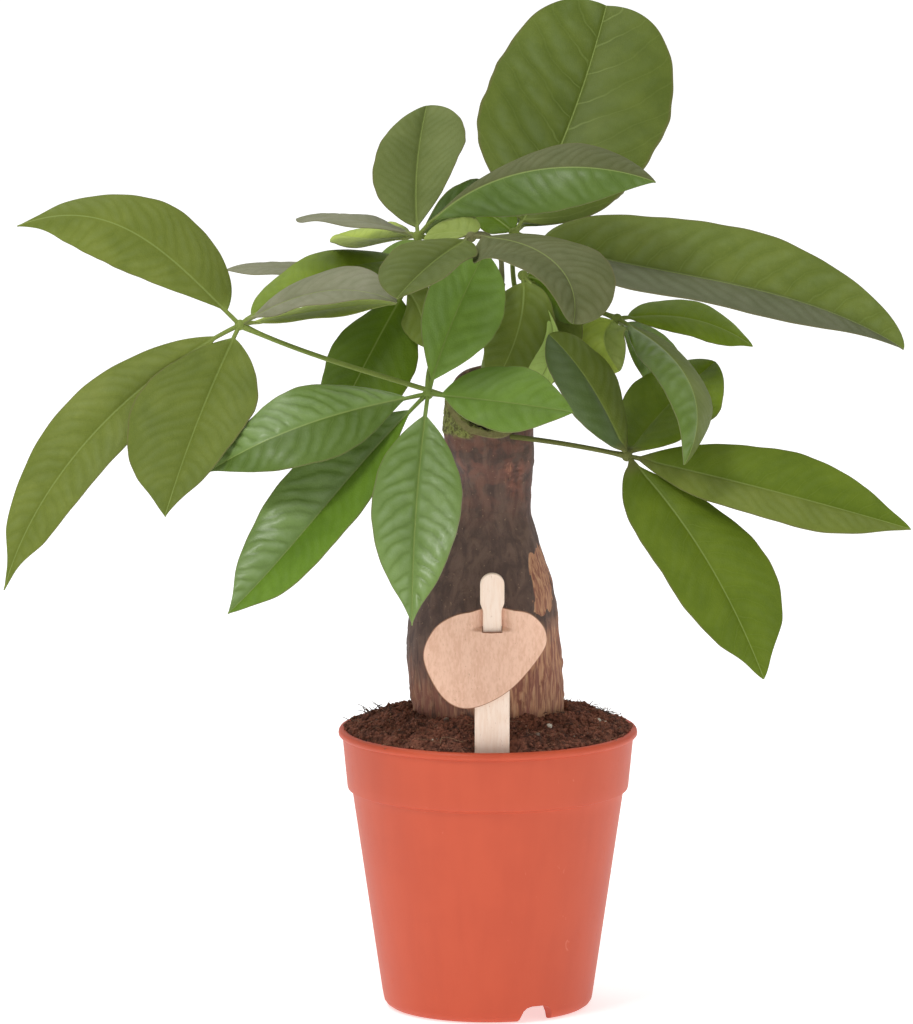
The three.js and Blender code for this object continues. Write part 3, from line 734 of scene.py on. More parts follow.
@dataclass(frozen=True)
class Sight:
    """How a viewer in front of the plant sights it: leaves are set out in that viewer's plane."""

    rise: float = 9.0  # degrees above level
    distance: float = 4000.0
    across: float = -12.6
    up: float = 196.4
    height: float = 200.4

    def place(self, point: Point) -> np.ndarray:
        """Find where a sighted point lies.

        Args:
            point: millimetres across and up in the sight plane, then the distance behind the pot's axis.

        Returns:
            Its place in millimetres.
        """
        across, up, behind = point
        sin, cos = math.sin(math.radians(self.rise)), math.cos(math.radians(self.rise))
        side, lift = across - self.across, up - self.up
        fall = behind * (lift * cos / self.distance - sin)
        height = (lift + fall) / (cos + lift * sin / self.distance)
        depth = behind * cos - height * sin
        return np.array([self.across + side * (1 + depth / self.distance), behind, self.height + height])

    @property
    def forward(self) -> np.ndarray:
        """The direction in which the viewer looks."""
        angle = math.radians(self.rise)
        return np.array([0.0, math.cos(angle), -math.sin(angle)])


SIGHT = Sight()


# ---------------------------------------------------------------- pot


@dataclass
class Pot:
    """The tapered nursery pot with its collar, lip and drainage notches."""

    height: float = 113.0
    lip_radius: float = 60.0
    lip_height: float = 3.2
    collar_top: float = 58.4
    collar_foot_radius: float = 56.4
    collar_foot: float = 88.5
    wall_top: float = 54.4
    wall_foot: float = 42.2
    rounding: float = 4.4
    wall: float = 1.6
    floor: float = 7.2  # height of the floor's upper face
    recess: float = 5.2  # how far the underside is set up inside its foot ring
    segments: int = 160
    notch_width: float = 15.0
    notch_height: float = 6.6
    notch_reach: float = 16.0
    notch_angles: tuple[float, ...] = (28.0, 148.0, 268.0)
    arch: tuple[tuple[float, float], ...] = ((0.93, 0.4), (0.82, 0.72), (0.62, 0.92), (0.35, 1.0))
    quarter: tuple[float, ...] = tuple(share * math.pi / 2 for share in (0.25, 0.5, 0.75, 1.0))

    def outline(self) -> list[Sequence[float]]:
        """List radius and height from the underside's middle, up the outside and down the inside."""
        foot, lip, rim, wall = self.wall_foot, self.height - self.lip_height, self.lip_radius, self.wall
        curve, ring = self.rounding, self.wall_foot - self.rounding
        shoulder, collar = self.collar_foot, self.collar_foot_radius
        return [
            (20.0, self.recess),
            (ring - 2.6, self.recess),
            (ring - 1.9, self.recess - 0.5),
            (ring - 1.4, 0.4),
            (ring - 1.0, 0.0),
            (ring, 0.0),
            *((foot - curve * (1 - math.sin(a)), curve * (1 - math.cos(a))) for a in self.quarter),
            *self.rise((foot, curve), (self.wall_top, shoulder - 1.0), 24),
            (self.wall_top + 0.25, shoulder - 0.35),
            (collar - 0.75, shoulder),
            (collar - 0.25, shoulder + 0.25),
            (collar, shoulder + 0.9),
            *self.rise((collar, shoulder + 0.9), (self.collar_top, lip), 5),
            (self.collar_top + 0.3, lip + 0.15),
            (rim - 0.5, lip + 0.3),
            (rim - 0.1, lip + 0.75),
            (rim, lip + 1.4),
            (rim - 0.15, lip + 2.2),
            (rim - 0.55, lip + 2.9),
            (rim - 1.1, self.height),
            (self.collar_top - wall + 0.9, self.height),
            (self.collar_top - wall + 0.3, self.height - 0.3),
            (self.collar_top - wall, lip),
            (collar - wall, shoulder + 1.0),
            (self.wall_top - wall - 0.3, shoulder - 2.0),
            (foot - wall + 0.3, self.floor + 2.0),
            (foot - wall - 2.0, self.floor),
        ]

    @staticmethod
    def rise(first: tuple[float, float], last: tuple[float, float], count: int) -> list[np.ndarray]:
        """List `count` even steps of a straight stretch of the outline, after its first point."""
        low, high = np.array(first), np.array(last)
        return [blend(low, high, step / count) for step in range(1, count + 1)]

    def shell(self) -> Draft:
        """Turn the outline into a closed shell."""
        rings = [circle(radius, height, self.segments) for radius, height in self.outline()]
        points = np.vstack([[0, 0, self.recess], *rings, [0, 0, self.floor]])
        return Draft(points, ring_faces(len(rings), self.segments))

    def cutter(self, angle: float) -> Draft:
        """Make the arched block that cuts one notch, `angle` degrees right of the front."""
        half, top = self.notch_width / 2, self.notch_height
        side = [(half * wide, top * high) for wide, high in self.arch]
        arch = [(-half, -1.0), (half, -1.0), *side, *((-x, z) for x, z in reversed(side))]
        near, far = -(self.wall_foot + self.notch_reach / 2), -(self.wall_foot - self.notch_reach / 2)
        count = len(arch)
        points = np.array([(x, y, z) for y in (near, far) for x, z in arch])
        turn = np.array(Matrix.Rotation(math.radians(angle), 3, "Z"))
        faces = [list(range(count)), list(range(2 * count - 1, count - 1, -1))]
        faces += [[k + count, (k + 1) % count + count, (k + 1) % count, k] for k in range(count)]
        return Draft(points @ turn.T, faces)

    def build(self) -> bpy.types.Object:
        """Build the pot and cut its notches."""
        finish = PotFinish()
        pot = self.shell().build("pot_shell", finish)
        cutters = [
            self.cutter(angle).build(f"notch_{number}", finish)
            for number, angle in enumerate(self.notch_angles)
        ]
        for tool in cutters:
            cut = pot.modifiers.new(tool.name, "BOOLEAN")
            cut.operation, cut.object, cut.solver = "DIFFERENCE", tool, "EXACT"
        applied(pot)
        for tool in cutters:
            bpy.data.objects.remove(tool)
        smoothed(pot.data, 40.0)
        return keep(pot, "pot_plastic", "pot")


# ---------------------------------------------------------------- soil


@dataclass
class Strewn:
    """A geometry-nodes tree that strews small bits over a surface: what grains and fibres share.

    Each bit is one shape, turned and sized at random, and then bent as a noise in space says.
    """

    name: str
    finish: Finish
    density: float  # bits a square metre
    seed: int
    sizes: dict[str, float]  # the tree's named inputs for its sizes, in millimetres
    bend: float  # how far the noise moves a bit's points, in millimetres
    waves: float  # how many times the noise varies over a metre
    detail: float  # octaves of that noise
    level: Point = (0.5, 0.5, 0.5)  # the noise that moves nothing
    tumble: tuple[Point, Point] = ((0.0, 0.0, 0.0), (6.28, 6.28, 6.28))  # least and most turn, in radians
    turn_seed: int = 3
    least: float = 0.0  # the least random number that sizes a bit

    def shape(self, board: Board) -> Flow:
        """Make one bit, of a size of 1."""
        raise NotImplementedError

    def size(self, share: Flow, given: dict[str, Flow]) -> Flow:
        """Size a bit by its random number."""
        raise NotImplementedError

    def skin(self, board: Board, bits: Flow, given: dict[str, Flow]) -> Flow:
        """Give the bits their skin: none is needed where they are meshes."""
        return bits

    def tree(self, values: dict[str, float | int]) -> tuple[bpy.types.NodeTree, dict[str, str]]:
        """Build the tree.

        Args:
            values: its named inputs and what they will be set to.

        Returns:
            The tree, and the identifier of each named input.
        """
        tree = bpy.data.node_groups.new(self.name, "GeometryNodeTree")
        board = Board(tree)
        for way in ("INPUT", "OUTPUT"):
            tree.interface.new_socket(name="Geometry", in_out=way, socket_type="NodeSocketGeometry")
        names = {}
        for name, value in values.items():
            kind = "NodeSocketInt" if isinstance(value, int) else "NodeSocketFloat"
            names[name] = tree.interface.new_socket(name=name, in_out="INPUT", socket_type=kind).identifier
        outputs = board.node("NodeGroupInput").outputs
        given = {name: Flow(board, outputs[name]) for name in ("Geometry", *values)}
        spread = {"Mesh": given["Geometry"], "Density": given["Density"], "Seed": given["Seed"]}
        points = board.flow("GeometryNodeDistributePointsOnFaces", None, spread, "Points")
        chance = "FunctionNodeRandomValue"
        low, high = self.tumble
        turn = board.flow(chance, {"data_type": "FLOAT_VECTOR"}, {0: low, 1: high, "Seed": self.turn_seed})
        share = {2: self.least, 3: 1.0, "Seed": self.turn_seed + 2}
        size = self.size(board.flow(chance, {"data_type": "FLOAT"}, share, 1), given)
        bit = {"Points": points, "Instance": self.shape(board), "Rotation": turn, "Scale": size}
        placed = board.flow("GeometryNodeInstanceOnPoints", None, bit)
        real = board.flow("GeometryNodeRealizeInstances", None, {0: placed})
        grain = {"Scale": self.waves, "Detail": self.detail}
        drift = board.flow("ShaderNodeTexNoise", None, grain, "Color")
        vector = "ShaderNodeVectorMath"
        centred = board.flow(vector, {"operation": "SUBTRACT"}, {0: drift, 1: self.level})
        shift = board.flow(vector, {"operation": "SCALE"}, {0: centred, "Scale": self.bend * MM})
        moved = board.flow("GeometryNodeSetPosition", None, {"Geometry": real, "Offset": shift})
        dress = {"Geometry": self.skin(board, moved, given), "Material": self.finish.material()}
        dressed = board.flow("GeometryNodeSetMaterial", None, dress)
        board.node("NodeGroupOutput", None, {0: dressed})
        return tree, names

    def build(self, surface: bpy.types.Object, slot: str) -> bpy.types.Object:
        """Strew the bits over a surface and keep them as a piece of their own."""
        sizes = {name: value * MM for name, value in self.sizes.items()}
        values = {"Density": self.density, **sizes, "Seed": self.seed}
        piece = bpy.data.objects.new(self.name, surface.data.copy())
        bpy.context.scene.collection.objects.link(piece)
        tree, names = self.tree(values)
        strew = piece.modifiers.new(self.name, "NODES")
        strew.node_group = tree
        for name, value in values.items():
            strew[names[name]] = value
        applied(piece)
        piece.data.shade_smooth()
        return keep(piece, slot)


class Grains(Strewn):
    """Rough grains of many sizes, most of them small."""

    flat: float = 0.8  # a grain's height as a share of its width
    skew: float = 2.2

    def __init__(
        self, name: str, finish: Finish, density: float, smallest: float, largest: float, seed: int
    ) -> None:
        """Work the shared sizes out from the grains' own."""
        sizes = {"Smallest": smallest, "Largest": largest}
        bend, waves = 0.45 * largest, 0.55 / (largest * MM)
        super().__init__(name, finish, density, seed, sizes, bend=bend, waves=waves, detail=2.0)

    def shape(self, board: Board) -> Flow:
        """Make a flattened ball."""
        ball = board.flow("GeometryNodeMeshIcoSphere", None, {"Radius": 1.0, "Subdivisions": 1})
        squeeze = {"Geometry": ball, "Scale": (1.0, 1.0, self.flat)}
        return board.flow("GeometryNodeTransform", None, squeeze)

    def size(self, share: Flow, given: dict[str, Flow]) -> Flow:
        """Make most grains small."""
        return share**self.skew * (given["Largest"] - given["Smallest"]) + given["Smallest"]


class Fibres(Strewn):
    """Short bent root fibres."""

    def __init__(
        self, name: str, finish: Finish, density: float, length: float, radius: float, seed: int,
        standing: float = 0.35,
    ) -> None:
        """Work the shared sizes out from the fibres' own; `standing` is how far they stand up, in radians."""
        sizes = {"Length": length, "Radius": radius}
        tumble = ((-0.4, -standing, 0.0), (0.4, standing, 6.28))
        super().__init__(
            name, finish, density, seed, sizes, bend=0.75 * length, waves=1.6 / (length * MM), detail=1.0,
            level=(0.5, 0.5, 0.46), tumble=tumble, turn_seed=7, least=0.35,
        )

    def shape(self, board: Board) -> Flow:
        """Make a line that can bend."""
        line = board.flow("GeometryNodeCurvePrimitiveLine", None, {"Start": (-0.5, 0, 0), "End": (0.5, 0, 0)})
        return board.flow("GeometryNodeResampleCurve", None, {"Curve": line, "Count": 8})

    def size(self, share: Flow, given: dict[str, Flow]) -> Flow:
        """Cut fibres to random lengths."""
        return share * given["Length"]

    def skin(self, board: Board, bits: Flow, given: dict[str, Flow]) -> Flow:
        """Make the bent lines thin square rods."""
        section = {"Resolution": 4, "Radius": given["Radius"]}
        profile = board.flow("GeometryNodeCurvePrimitiveCircle", None, section)
        rod = {"Curve": bits, "Profile Curve": profile, "Fill Caps": True}
        return board.flow("GeometryNodeCurveToMesh", None, rod)


@dataclass
class Soil:
    """The peat: heaped towards the stump, crumbly, with perlite and root fibres on it."""

    pot: Pot
    edge_height: float = 112.1
    rise: float = 12.0
    crumb: float = 0.7
    clearance: float = 0.3
    stick_place: float = 1.5  # how far right of the middle the label's stick stands
    stick_level: float = 110.6
    stick_clear: float = 9.5  # loose bits keep this far from it, in front of stick_front
    stick_front: float = -42.0
    calm_from: float = 52.0  # crumbs get smaller from here to bed_edge
    rings: int = 64
    segments: int = 216
    bed_rings: int = 24
    bed_sides: int = 96
    bed_edge: float = 56.3
    stone_places: tuple[Point, ...] = (  # right of the middle, behind it, radius
        (24.4, -34.0, 1.15), (44.4, -6.0, 0.95), (47.0, -13.0, 0.8), (38.0, 31.0, 1.3),
    )
    tuft_places: tuple[tuple[float, float, int, float], ...] = (  # place, number of fibres, height
        (-45.0, 24.0, 34, 6.0), (-51.0, 12.0, 24, 4.5), (44.0, 27.0, 34, 5.0), (50.0, 8.0, 20, 4.0),
    )

    def heap(self, x: np.ndarray, y: np.ndarray) -> np.ndarray:
        """Height of the heaped surface, without its fine crumbs."""
        radius = np.hypot(x, y) / (self.pot.collar_top - self.pot.wall)
        heap = self.rise * np.maximum(np.cos(np.minimum(1, radius) * (np.pi / 2)), 0) ** 0.8
        waves = np.sin(x * 0.41 + 2 * np.sin(y * 0.23)) + np.sin(y * 0.37 + 1.7 * np.sin(x * 0.29))
        return self.edge_height + heap + self.crumb * waves

    def top(self, x: float, y: float) -> float:
        """Height of the surface with its crumbs, kept inside the rim at the edge and level at the stick."""
        height = float(self.heap(np.array(x), np.array(y)))
        calm = 1.0 - 0.6 * smoothstep(self.calm_from, self.bed_edge, math.hypot(x, y))
        coarse = rough((x, y, 0.0), 5.2, 3.0, 3)
        fine = rough((x, y, 0.0), 1.9, 11.0, 2)
        beside = smoothstep(13.0, 9.0, abs(x - self.stick_place))
        hollow = beside * smoothstep(-45.0, -50.0, y)
        crumbly = height + calm * (1.25 * coarse + 0.5 * fine)
        return (1 - hollow) * crumbly + hollow * (self.stick_level + 0.4 * fine)

    def body(self) -> Draft:
        """Build the closed body from the pot's floor up to the crumbly surface."""
        pot, gap = self.pot, self.pot.wall + self.clearance
        floor, rim = pot.floor + self.clearance, pot.collar_top - gap
        side = (
            (pot.wall_foot - gap - 2.0, floor),
            (pot.wall_foot - gap + 0.3, floor + 2.0),
            (pot.wall_top - gap - 0.3, pot.collar_foot - 2.0),
            (pot.collar_foot_radius - gap, pot.collar_foot + 1.0),
            (rim - 0.1, self.edge_height - 3.0),
        )
        rows = [circle(radius, height, self.segments) for radius, height in side]
        for ring in range(self.rings):
            rows.append(self.level(rim * (1 - ring / self.rings), self.segments))
        points = np.vstack([[0, 0, floor], *rows, [0, 0, self.top(0, 0)]])
        return Draft(points, ring_faces(len(rows), self.segments))

    def level(self, radius: float, count: int) -> np.ndarray:
        """Lay a ring of points on the surface."""
        places = [(radius * math.cos(angle), radius * math.sin(angle)) for angle in turns(count)]
        return np.array([(x, y, self.top(x, y)) for x, y in places])

    def surface(self, inner: float, outer: float) -> bpy.types.Object:
        """Make the open ring of surface that loose bits lie on, up to the pot's rim but not at the stick."""
        rings, sides = self.bed_rings, self.bed_sides
        points, faces = [], []
        for ring in range(rings + 1):
            radius = blend(inner, outer, ring / rings)
            loop = self.level(radius, sides)
            if radius > self.bed_edge:
                loop[:, 2] = np.maximum(loop[:, 2], self.pot.height + 0.1)
            points.append(loop)
        points = np.vstack(points)
        for ring in range(rings):
            for face in band(ring * sides, (ring + 1) * sides, sides):
                x, y, _ = points[face[0]]
                if abs(x - self.stick_place) >= self.stick_clear or y >= self.stick_front:
                    faces.append([face[0], face[3], face[2], face[1]])
        return Draft(points, faces).build("strewn", PeatFinish())

    def build(self) -> None:
        """Build the body and what lies on it."""
        keep(self.body().build("soil_body", PeatFinish(), 180.0), "peat", "soil")
        bed = self.surface(26.0, 57.4)
        perlite = PlainFinish("perlite_white")
        grey = PlainFinish("crumb_grey", first=srgb(128, 110, 98), second=srgb(96, 78, 68), size=1.2)
        root = PlainFinish("root_tan", first=srgb(150, 116, 88), second=srgb(112, 82, 62), size=2.0)
        dark = PlainFinish("root_dark", first=srgb(62, 44, 38), second=srgb(90, 62, 50), size=2.0)
        Grains("soil_crumbs", PeatFinish(), 820000.0, 0.3, 1.35, 11).build(bed, "peat")
        Grains("soil_lumps", grey, 2200.0, 0.6, 1.5, 4).build(bed, "peat")
        Grains("soil_perlite", perlite, 1500.0, 0.3, 0.75, 8).build(bed, "peat")
        Fibres("soil_roots", root, 16000.0, 9.0, 0.11, 3).build(bed, "peat")
        Fibres("soil_threads", dark, 22000.0, 7.0, 0.13, 6, 0.8).build(bed, "peat")
        bpy.data.objects.remove(bed)
        self.stones(perlite)
        self.tufts(dark)

    def stones(self, finish: Finish) -> bpy.types.Object:
        """Set the few larger bits of perlite at the right of the front."""
        draft = Draft()
        rows = np.linspace(-0.5 * np.pi, 0.5 * np.pi, 10)[1:-1]
        for x, y, radius in self.stone_places:
            path = np.array([[x, y, self.top(x, y) + radius * (0.5 + math.sin(row))] for row in rows])
            points, faces = tube(path, radius * np.cos(rows), 12)
            knobs = [1 + 0.25 * rough(point, 0.9, 5.0, 2) for point in points]
            middle = path.mean(axis=0)
            draft.add(middle + (points - middle) * np.array(knobs)[:, None], faces)
        return keep(draft.build("soil_stones", finish), "peat")

    def tufts(self, finish: Finish) -> bpy.types.Object:
        """Stand tufts of root fibres at the rim, left and right of the stump."""
        draft, luck, joints = Draft(), np.random.default_rng(5), 9
        share = np.linspace(0, 1, joints)[:, None]
        for x, y, count, tall in self.tuft_places:
            for _ in range(count):
                foot = np.array([x, y, 0.0]) + np.array([*luck.uniform(-4, 4, 2), 0.0])
                foot[2] = self.top(foot[0], foot[1]) - 0.8
                lean = luck.uniform(-0.7, 0.7, 2)
                height = tall * luck.uniform(0.3, 1.0)
                bend = luck.uniform(-4.5, 4.5, 2)
                swing = lean * height * share + bend * share**2
                path = foot + np.hstack([swing, height * share * (1 - 0.35 * share)])
                draft.add(*tube(path, np.linspace(0.26, 0.1, joints), 5))
        return keep(draft.build("soil_tufts", finish), "peat")


# ---------------------------------------------------------------- stump and shoots


@dataclass(frozen=True)
class Patch:
    """A ragged patch on the front of the bark.

    `x` and `z` are its middle, `wide` and `tall` how far from it the patch ends and is whole, and `ragged`
    how far its edge wanders each way. `grain`, `squash` and `seed` give the noise that it wanders by, `slant`
    is its lean, and `back` how far behind the axis it may lie.
    """

    x: float
    z: float
    wide: tuple[float, float]
    tall: tuple[float, float]
    ragged: tuple[float, float]
    grain: float
    squash: float
    seed: float
    slant: float = 0.0
    back: float = 0.0

    def share(self, x: float, y: float, z: float) -> float:
        """Say how far the patch covers a place, from 0 to 1."""
        edge = rough((x, y, z * self.squash), self.grain, self.seed)
        aside = abs(x - self.x + self.slant * (z - self.z)) + self.ragged[0] * edge
        above = abs(z - self.z) + self.ragged[1] * edge
        return (y < self.back) * smoothstep(*self.tall, above) * smoothstep(*self.wide, aside)


@dataclass
class Stump:
    """The bottle-shaped stump, with a slanted, hollowed cut that faces the front."""

    rows: tuple[Point, ...] = (  # height, sideways lean, radius
        (62, -1, 11), (80, -1, 21), (100, -0.5, 27), (120, 0, 29.8), (135, -1.2, 30.8), (150, -2.1, 30.5),
        (161, -1.8, 29.4), (173, -0.7, 26.2), (189, 0.3, 20.5), (200, 1.6, 16.1), (208, 2.4, 15.1),
        (216, 2.9, 15.4), (226, 1.5, 17.6), (235, 0.9, 17.8), (245.5, 0.9, 17.3),
    )
    depth: float = 0.94  # from front to back, as a share of its width
    cut_from: float = 216.0  # the rings tilt from here up
    cut_slope: float = 0.78
    hollow: tuple[tuple[float, float], ...] = (  # share of the top's radius, height over the top
        (0.86, 1.0), (0.66, -3.2), (0.36, -8.0), (0.02, -9.5),
    )
    hollow_rings: int = 44
    sides: int = 200
    pitch: float = 0.9  # between rings, in millimetres
    bare: Patch = Patch(21.0, 175.0, (4.0, 3.0), (12.6, 11.0), (1.7, 3.4), 4.0, 0.5, 21.0, 0.1, 2.0)
    red: Patch = Patch(10.2, 217.5, (4.4, 2.6), (10.5, 7.5), (1.6, 2.5), 5.0, 0.6, 41.0)

    def callused(self, x: float, y: float, z: float, past: float) -> float:
        """Say how green with callus a place is, from 0 to 1: it lies by the cut, at the left of the front."""
        front = smoothstep(9.0, -3.0, y)
        if past > 0:
            return front * smoothstep(11.0, 2.0, x)
        return front * smoothstep(-4.0, -10.0, x) * smoothstep(231.8, 233.2, z)

    def relief(self, x: float, y: float, z: float) -> float:
        """Give the bark's relief at a place, in millimetres outwards."""
        low = smoothstep(170.0, 132.0, z)
        fibres = rough((x, y, z * 0.14), 2.8, 1.0, 4)
        lumps = rough((x, y, z), 13.0, 5.0, 2)
        rings = rough((x * 0.3, y * 0.3, z), 3.4, 9.0, 3)
        scales = max(0.0, rough((x, y, z * 0.5), 4.2, 15.0, 2) - 0.3)
        return 0.5 * lumps + (0.16 + 0.34 * low) * fibres + 0.12 * rings + (0.5 + 1.6 * low) * scales

    def build(self) -> bpy.types.Object:
        """Build the stump."""
        top = self.rows[-1]
        count = int((top[0] - self.rows[0][0]) / self.pitch)
        side = rounded(self.rows, np.linspace(0, len(self.rows) - 1, count))
        inner = [(top[0] + lift, top[1], top[2] * share) for share, lift in self.hollow]
        places = np.linspace(0, len(inner), self.hollow_rings)
        rows = np.vstack([side, rounded([top, *inner], places)[1:]])
        points, bark, scar = [[rows[0][1], 0.0, rows[0][0]]], [[0.0] * 3], [[0.0] * 3]
        for number, (z, lean, radius) in enumerate(rows):
            past = max(0.0, (number - count + 1) / (len(rows) - count))
            cut = 1.0 if past > 0 else min(1.0, max(0.0, (z - self.cut_from) / (top[0] - self.cut_from)))
            lip = 1.0 if 0 < past < 0.3 else 0.0
            for turn in turns(self.sides):
                ribs = 1 + 0.022 * math.sin(3 * turn + 0.6 + z / 55) + 0.014 * math.sin(7 * turn - z / 30)
                x, y = radius * ribs * math.cos(turn), radius * ribs * self.depth * math.sin(turn)
                place = (x + lean, y, z)
                bare, red = (patch.share(*place) if past == 0 else 0.0 for patch in (self.bare, self.red))
                out = self.relief(*place) * (1.0 - 0.8 * past) - 0.4 * bare
                out += 0.5 * red * rough(place, 1.6, 51.0, 2)
                height = z + cut * self.cut_slope * y
                callus = self.callused(x, y, height + 1.3 * rough(place, 3.5, 61.0, 2), past)
                out += callus * (1.0 - past) * (0.5 + 0.5 * rough(place, 2.4, 71.0, 3))
                scale = 1 + out / max(radius, 6.0)
                if past > 0.1:
                    height += 1.5 * rough((x, y, z), 3.0, 31.0, 4) * min(1.0, (past - 0.1) * 3)
                points.append([lean + x * scale, y * scale, height])
                bark.append([past, bare, red])
                scar.append([callus, smoothstep(2.0, -5.0, y) * lip, 0.0])
        points.append([top[1], 0.0, top[0] + self.hollow[-1][1]])
        bark.append([1.0, 0.0, 0.0])
        scar.append([0.0] * 3)
        faces = ring_faces(len(rows), self.sides)
        draft = Draft(np.array(points), faces, bark=np.array(bark), scar=np.array(scar))
        return keep(draft.build("stump_bark", BarkFinish(), 180.0), "bark", "stump")


@dataclass
class Shoot:
    """A thin green shoot that sprouts from the stump's cut top."""

    node: str
    points: tuple[Point, ...]
    radius: float = 2.3
    rings: int = 90
    knots: tuple[float, ...] = (0.42, 0.7, 0.93)  # where petioles leave it, as shares of its length

    def build(self) -> bpy.types.Object:
        """Build the shoot, a little swollen at its foot and where petioles leave it."""
        share = np.linspace(0, 1, self.rings)
        path = along(np.array([SIGHT.place(point) for point in self.points]), share)
        radii = self.radius * (1.0 + 0.35 * np.exp(-((share / 0.08) ** 2)) - 0.12 * share)
        for knot in self.knots:
            radii += 0.35 * np.exp(-(((share - knot) / 0.035) ** 2))
        stem = Draft(*tube(path, radii, 20)).build(f"{self.node}_stem", StemFinish())
        return keep(stem, "green_stem", self.node)


# ---------------------------------------------------------------- leaves


@dataclass(frozen=True)
class Face:
    """How one half of a leaflet's upper side looks.

    `gloss` is its shine, `quilt` how far its panels bulge in millimetres, `gap` the millimetres between its
    veins, `drawn` how pale they are and `relief` how strongly the painted groove shade and crest sheen show.
    """

    green: tuple
    gloss: float
    quilt: float
    gap: float
    drawn: float
    relief: float


class Look(Enum):
    """The leaflets' named looks, whose greens carry painted light: lighter for halves in shade, greyer for
    the sky's reflection.
    """

    OLIVE = Face(srgb(117, 129, 54), 0.2, 0.26, 6.4, 0.06, 0.34)
    KHAKI = Face(srgb(107, 120, 47), 0.2, 0.26, 6.2, 0.06, 0.32)
    SMOOTH = Face(srgb(101, 120, 30), 0.25, 0.14, 7.0, 0.1, 0.14)
    FRESH = Face(srgb(124, 146, 36), 0.3, 0.18, 6.0, 0.14, 0.25)
    QUILTED = Face(srgb(118, 144, 75), 0.78, 0.85, 7.0, 0.06, 0.85)
    PLAIN = Face(srgb(104, 137, 39), 0.25, 0.22, 6.5, 0.06, 0.22)
    LUSH = Face(srgb(94, 118, 50), 0.55, 0.42, 7.2, 0.1, 0.5)
    # a fresh green made lighter, as painted light, for the halves in shade that wear it
    BRIGHT = Face(srgb(119, 150, 61), 0.5, 0.4, 7.6, 0.08, 0.36)
    DEEP = Face(srgb(97, 123, 28), 0.3, 0.22, 6.5, 0.1, 0.25)
    GLOSSY = Face(srgb(100, 126, 40), 0.85, 0.4, 6.5, 0.1, 0.45)
    SHADED = Face(srgb(110, 124, 50), 0.25, 0.3, 6.0, 0.06, 0.4)
    SOFT = Face(srgb(111, 122, 67), 0.1, 0.24, 4.4, 0.08, 0.32)
    FADED = Face(srgb(142, 157, 80), 0.15, 0.3, 6.0, 0.06, 0.4)
    # painted reflection: a green greyed by the sky's sheen on halves seen at a grazing angle
    GLANCE_GREY = Face(srgb(134, 134, 107), 0.3, 0.3, 6.4, 0.1, 0.35)
    # painted reflection: a green greyed by the sky's sheen on halves seen at a grazing angle
    SHEEN_GREY = Face(srgb(99, 103, 65), 0.1, 0.42, 5.2, 0.02, 0.45)
    MOSSY = Face(srgb(93, 105, 44), 0.25, 0.25, 6.0, 0.06, 0.3)
    BROAD = Face(srgb(97, 112, 41), 0.4, 0.5, 14.0, 0.25, 0.45)
    CALM = Face(srgb(93, 107, 38), 0.4, 0.3, 14.0, 0.3, 0.16)
    LONG = Face(srgb(108, 122, 50), 0.35, 0.45, 11.0, 0.16, 0.4)
    # painted reflection: a green greyed by the sky's sheen on halves seen at a grazing angle
    GREYED = Face(srgb(100, 104, 77), 0.15, 0.4, 9.0, 0.14, 0.45)
    # a young leaflet's own yellow-green, made lighter still as painted light for halves in shade
    YOUNG = Face(srgb(174, 192, 82), 0.4, 0.3, 5.0, 0.16, 0.4)
    PALE = Face(srgb(188, 212, 120), 0.4, 0.2, 4.0, 0.2, 0.3)
    COOL = Face(srgb(88, 108, 56), 0.8, 0.3, 7.2, 0.08, 0.22)


@dataclass(frozen=True)
class Half:
    """One half of a leaflet's blade.

    `width` is its widest, `turn` the degrees by which it turns away from the viewer, all along or at its base
    and its tip, `start` and `end` how pointed it starts and ends, `sweep` how far its margin runs towards the
    tip, and `lobe` how much further it does so at the tip itself.
    """

    width: float
    turn: float | tuple[float, float]
    start: float
    end: float
    sweep: float = 0.0
    lobe: float = 0.0


def pair(width: float, left: float, right: float, start: float, end: float) -> tuple[Half, Half]:
    """Make a left and a right half that differ only in how they turn."""
    return Half(width, left, start, end), Half(width, right, start, end)


@dataclass(frozen=True)
class Leaflet:
    """A leaflet: its midrib's points after the hub, its two halves and their looks."""

    rib: tuple[Point, ...]
    left: Half
    right: Half
    look: Look = Look.OLIVE
    other: Look | None = None  # the right half's look, where it differs
    drip: float = 0.0  # how far the tip is drawn in to a point


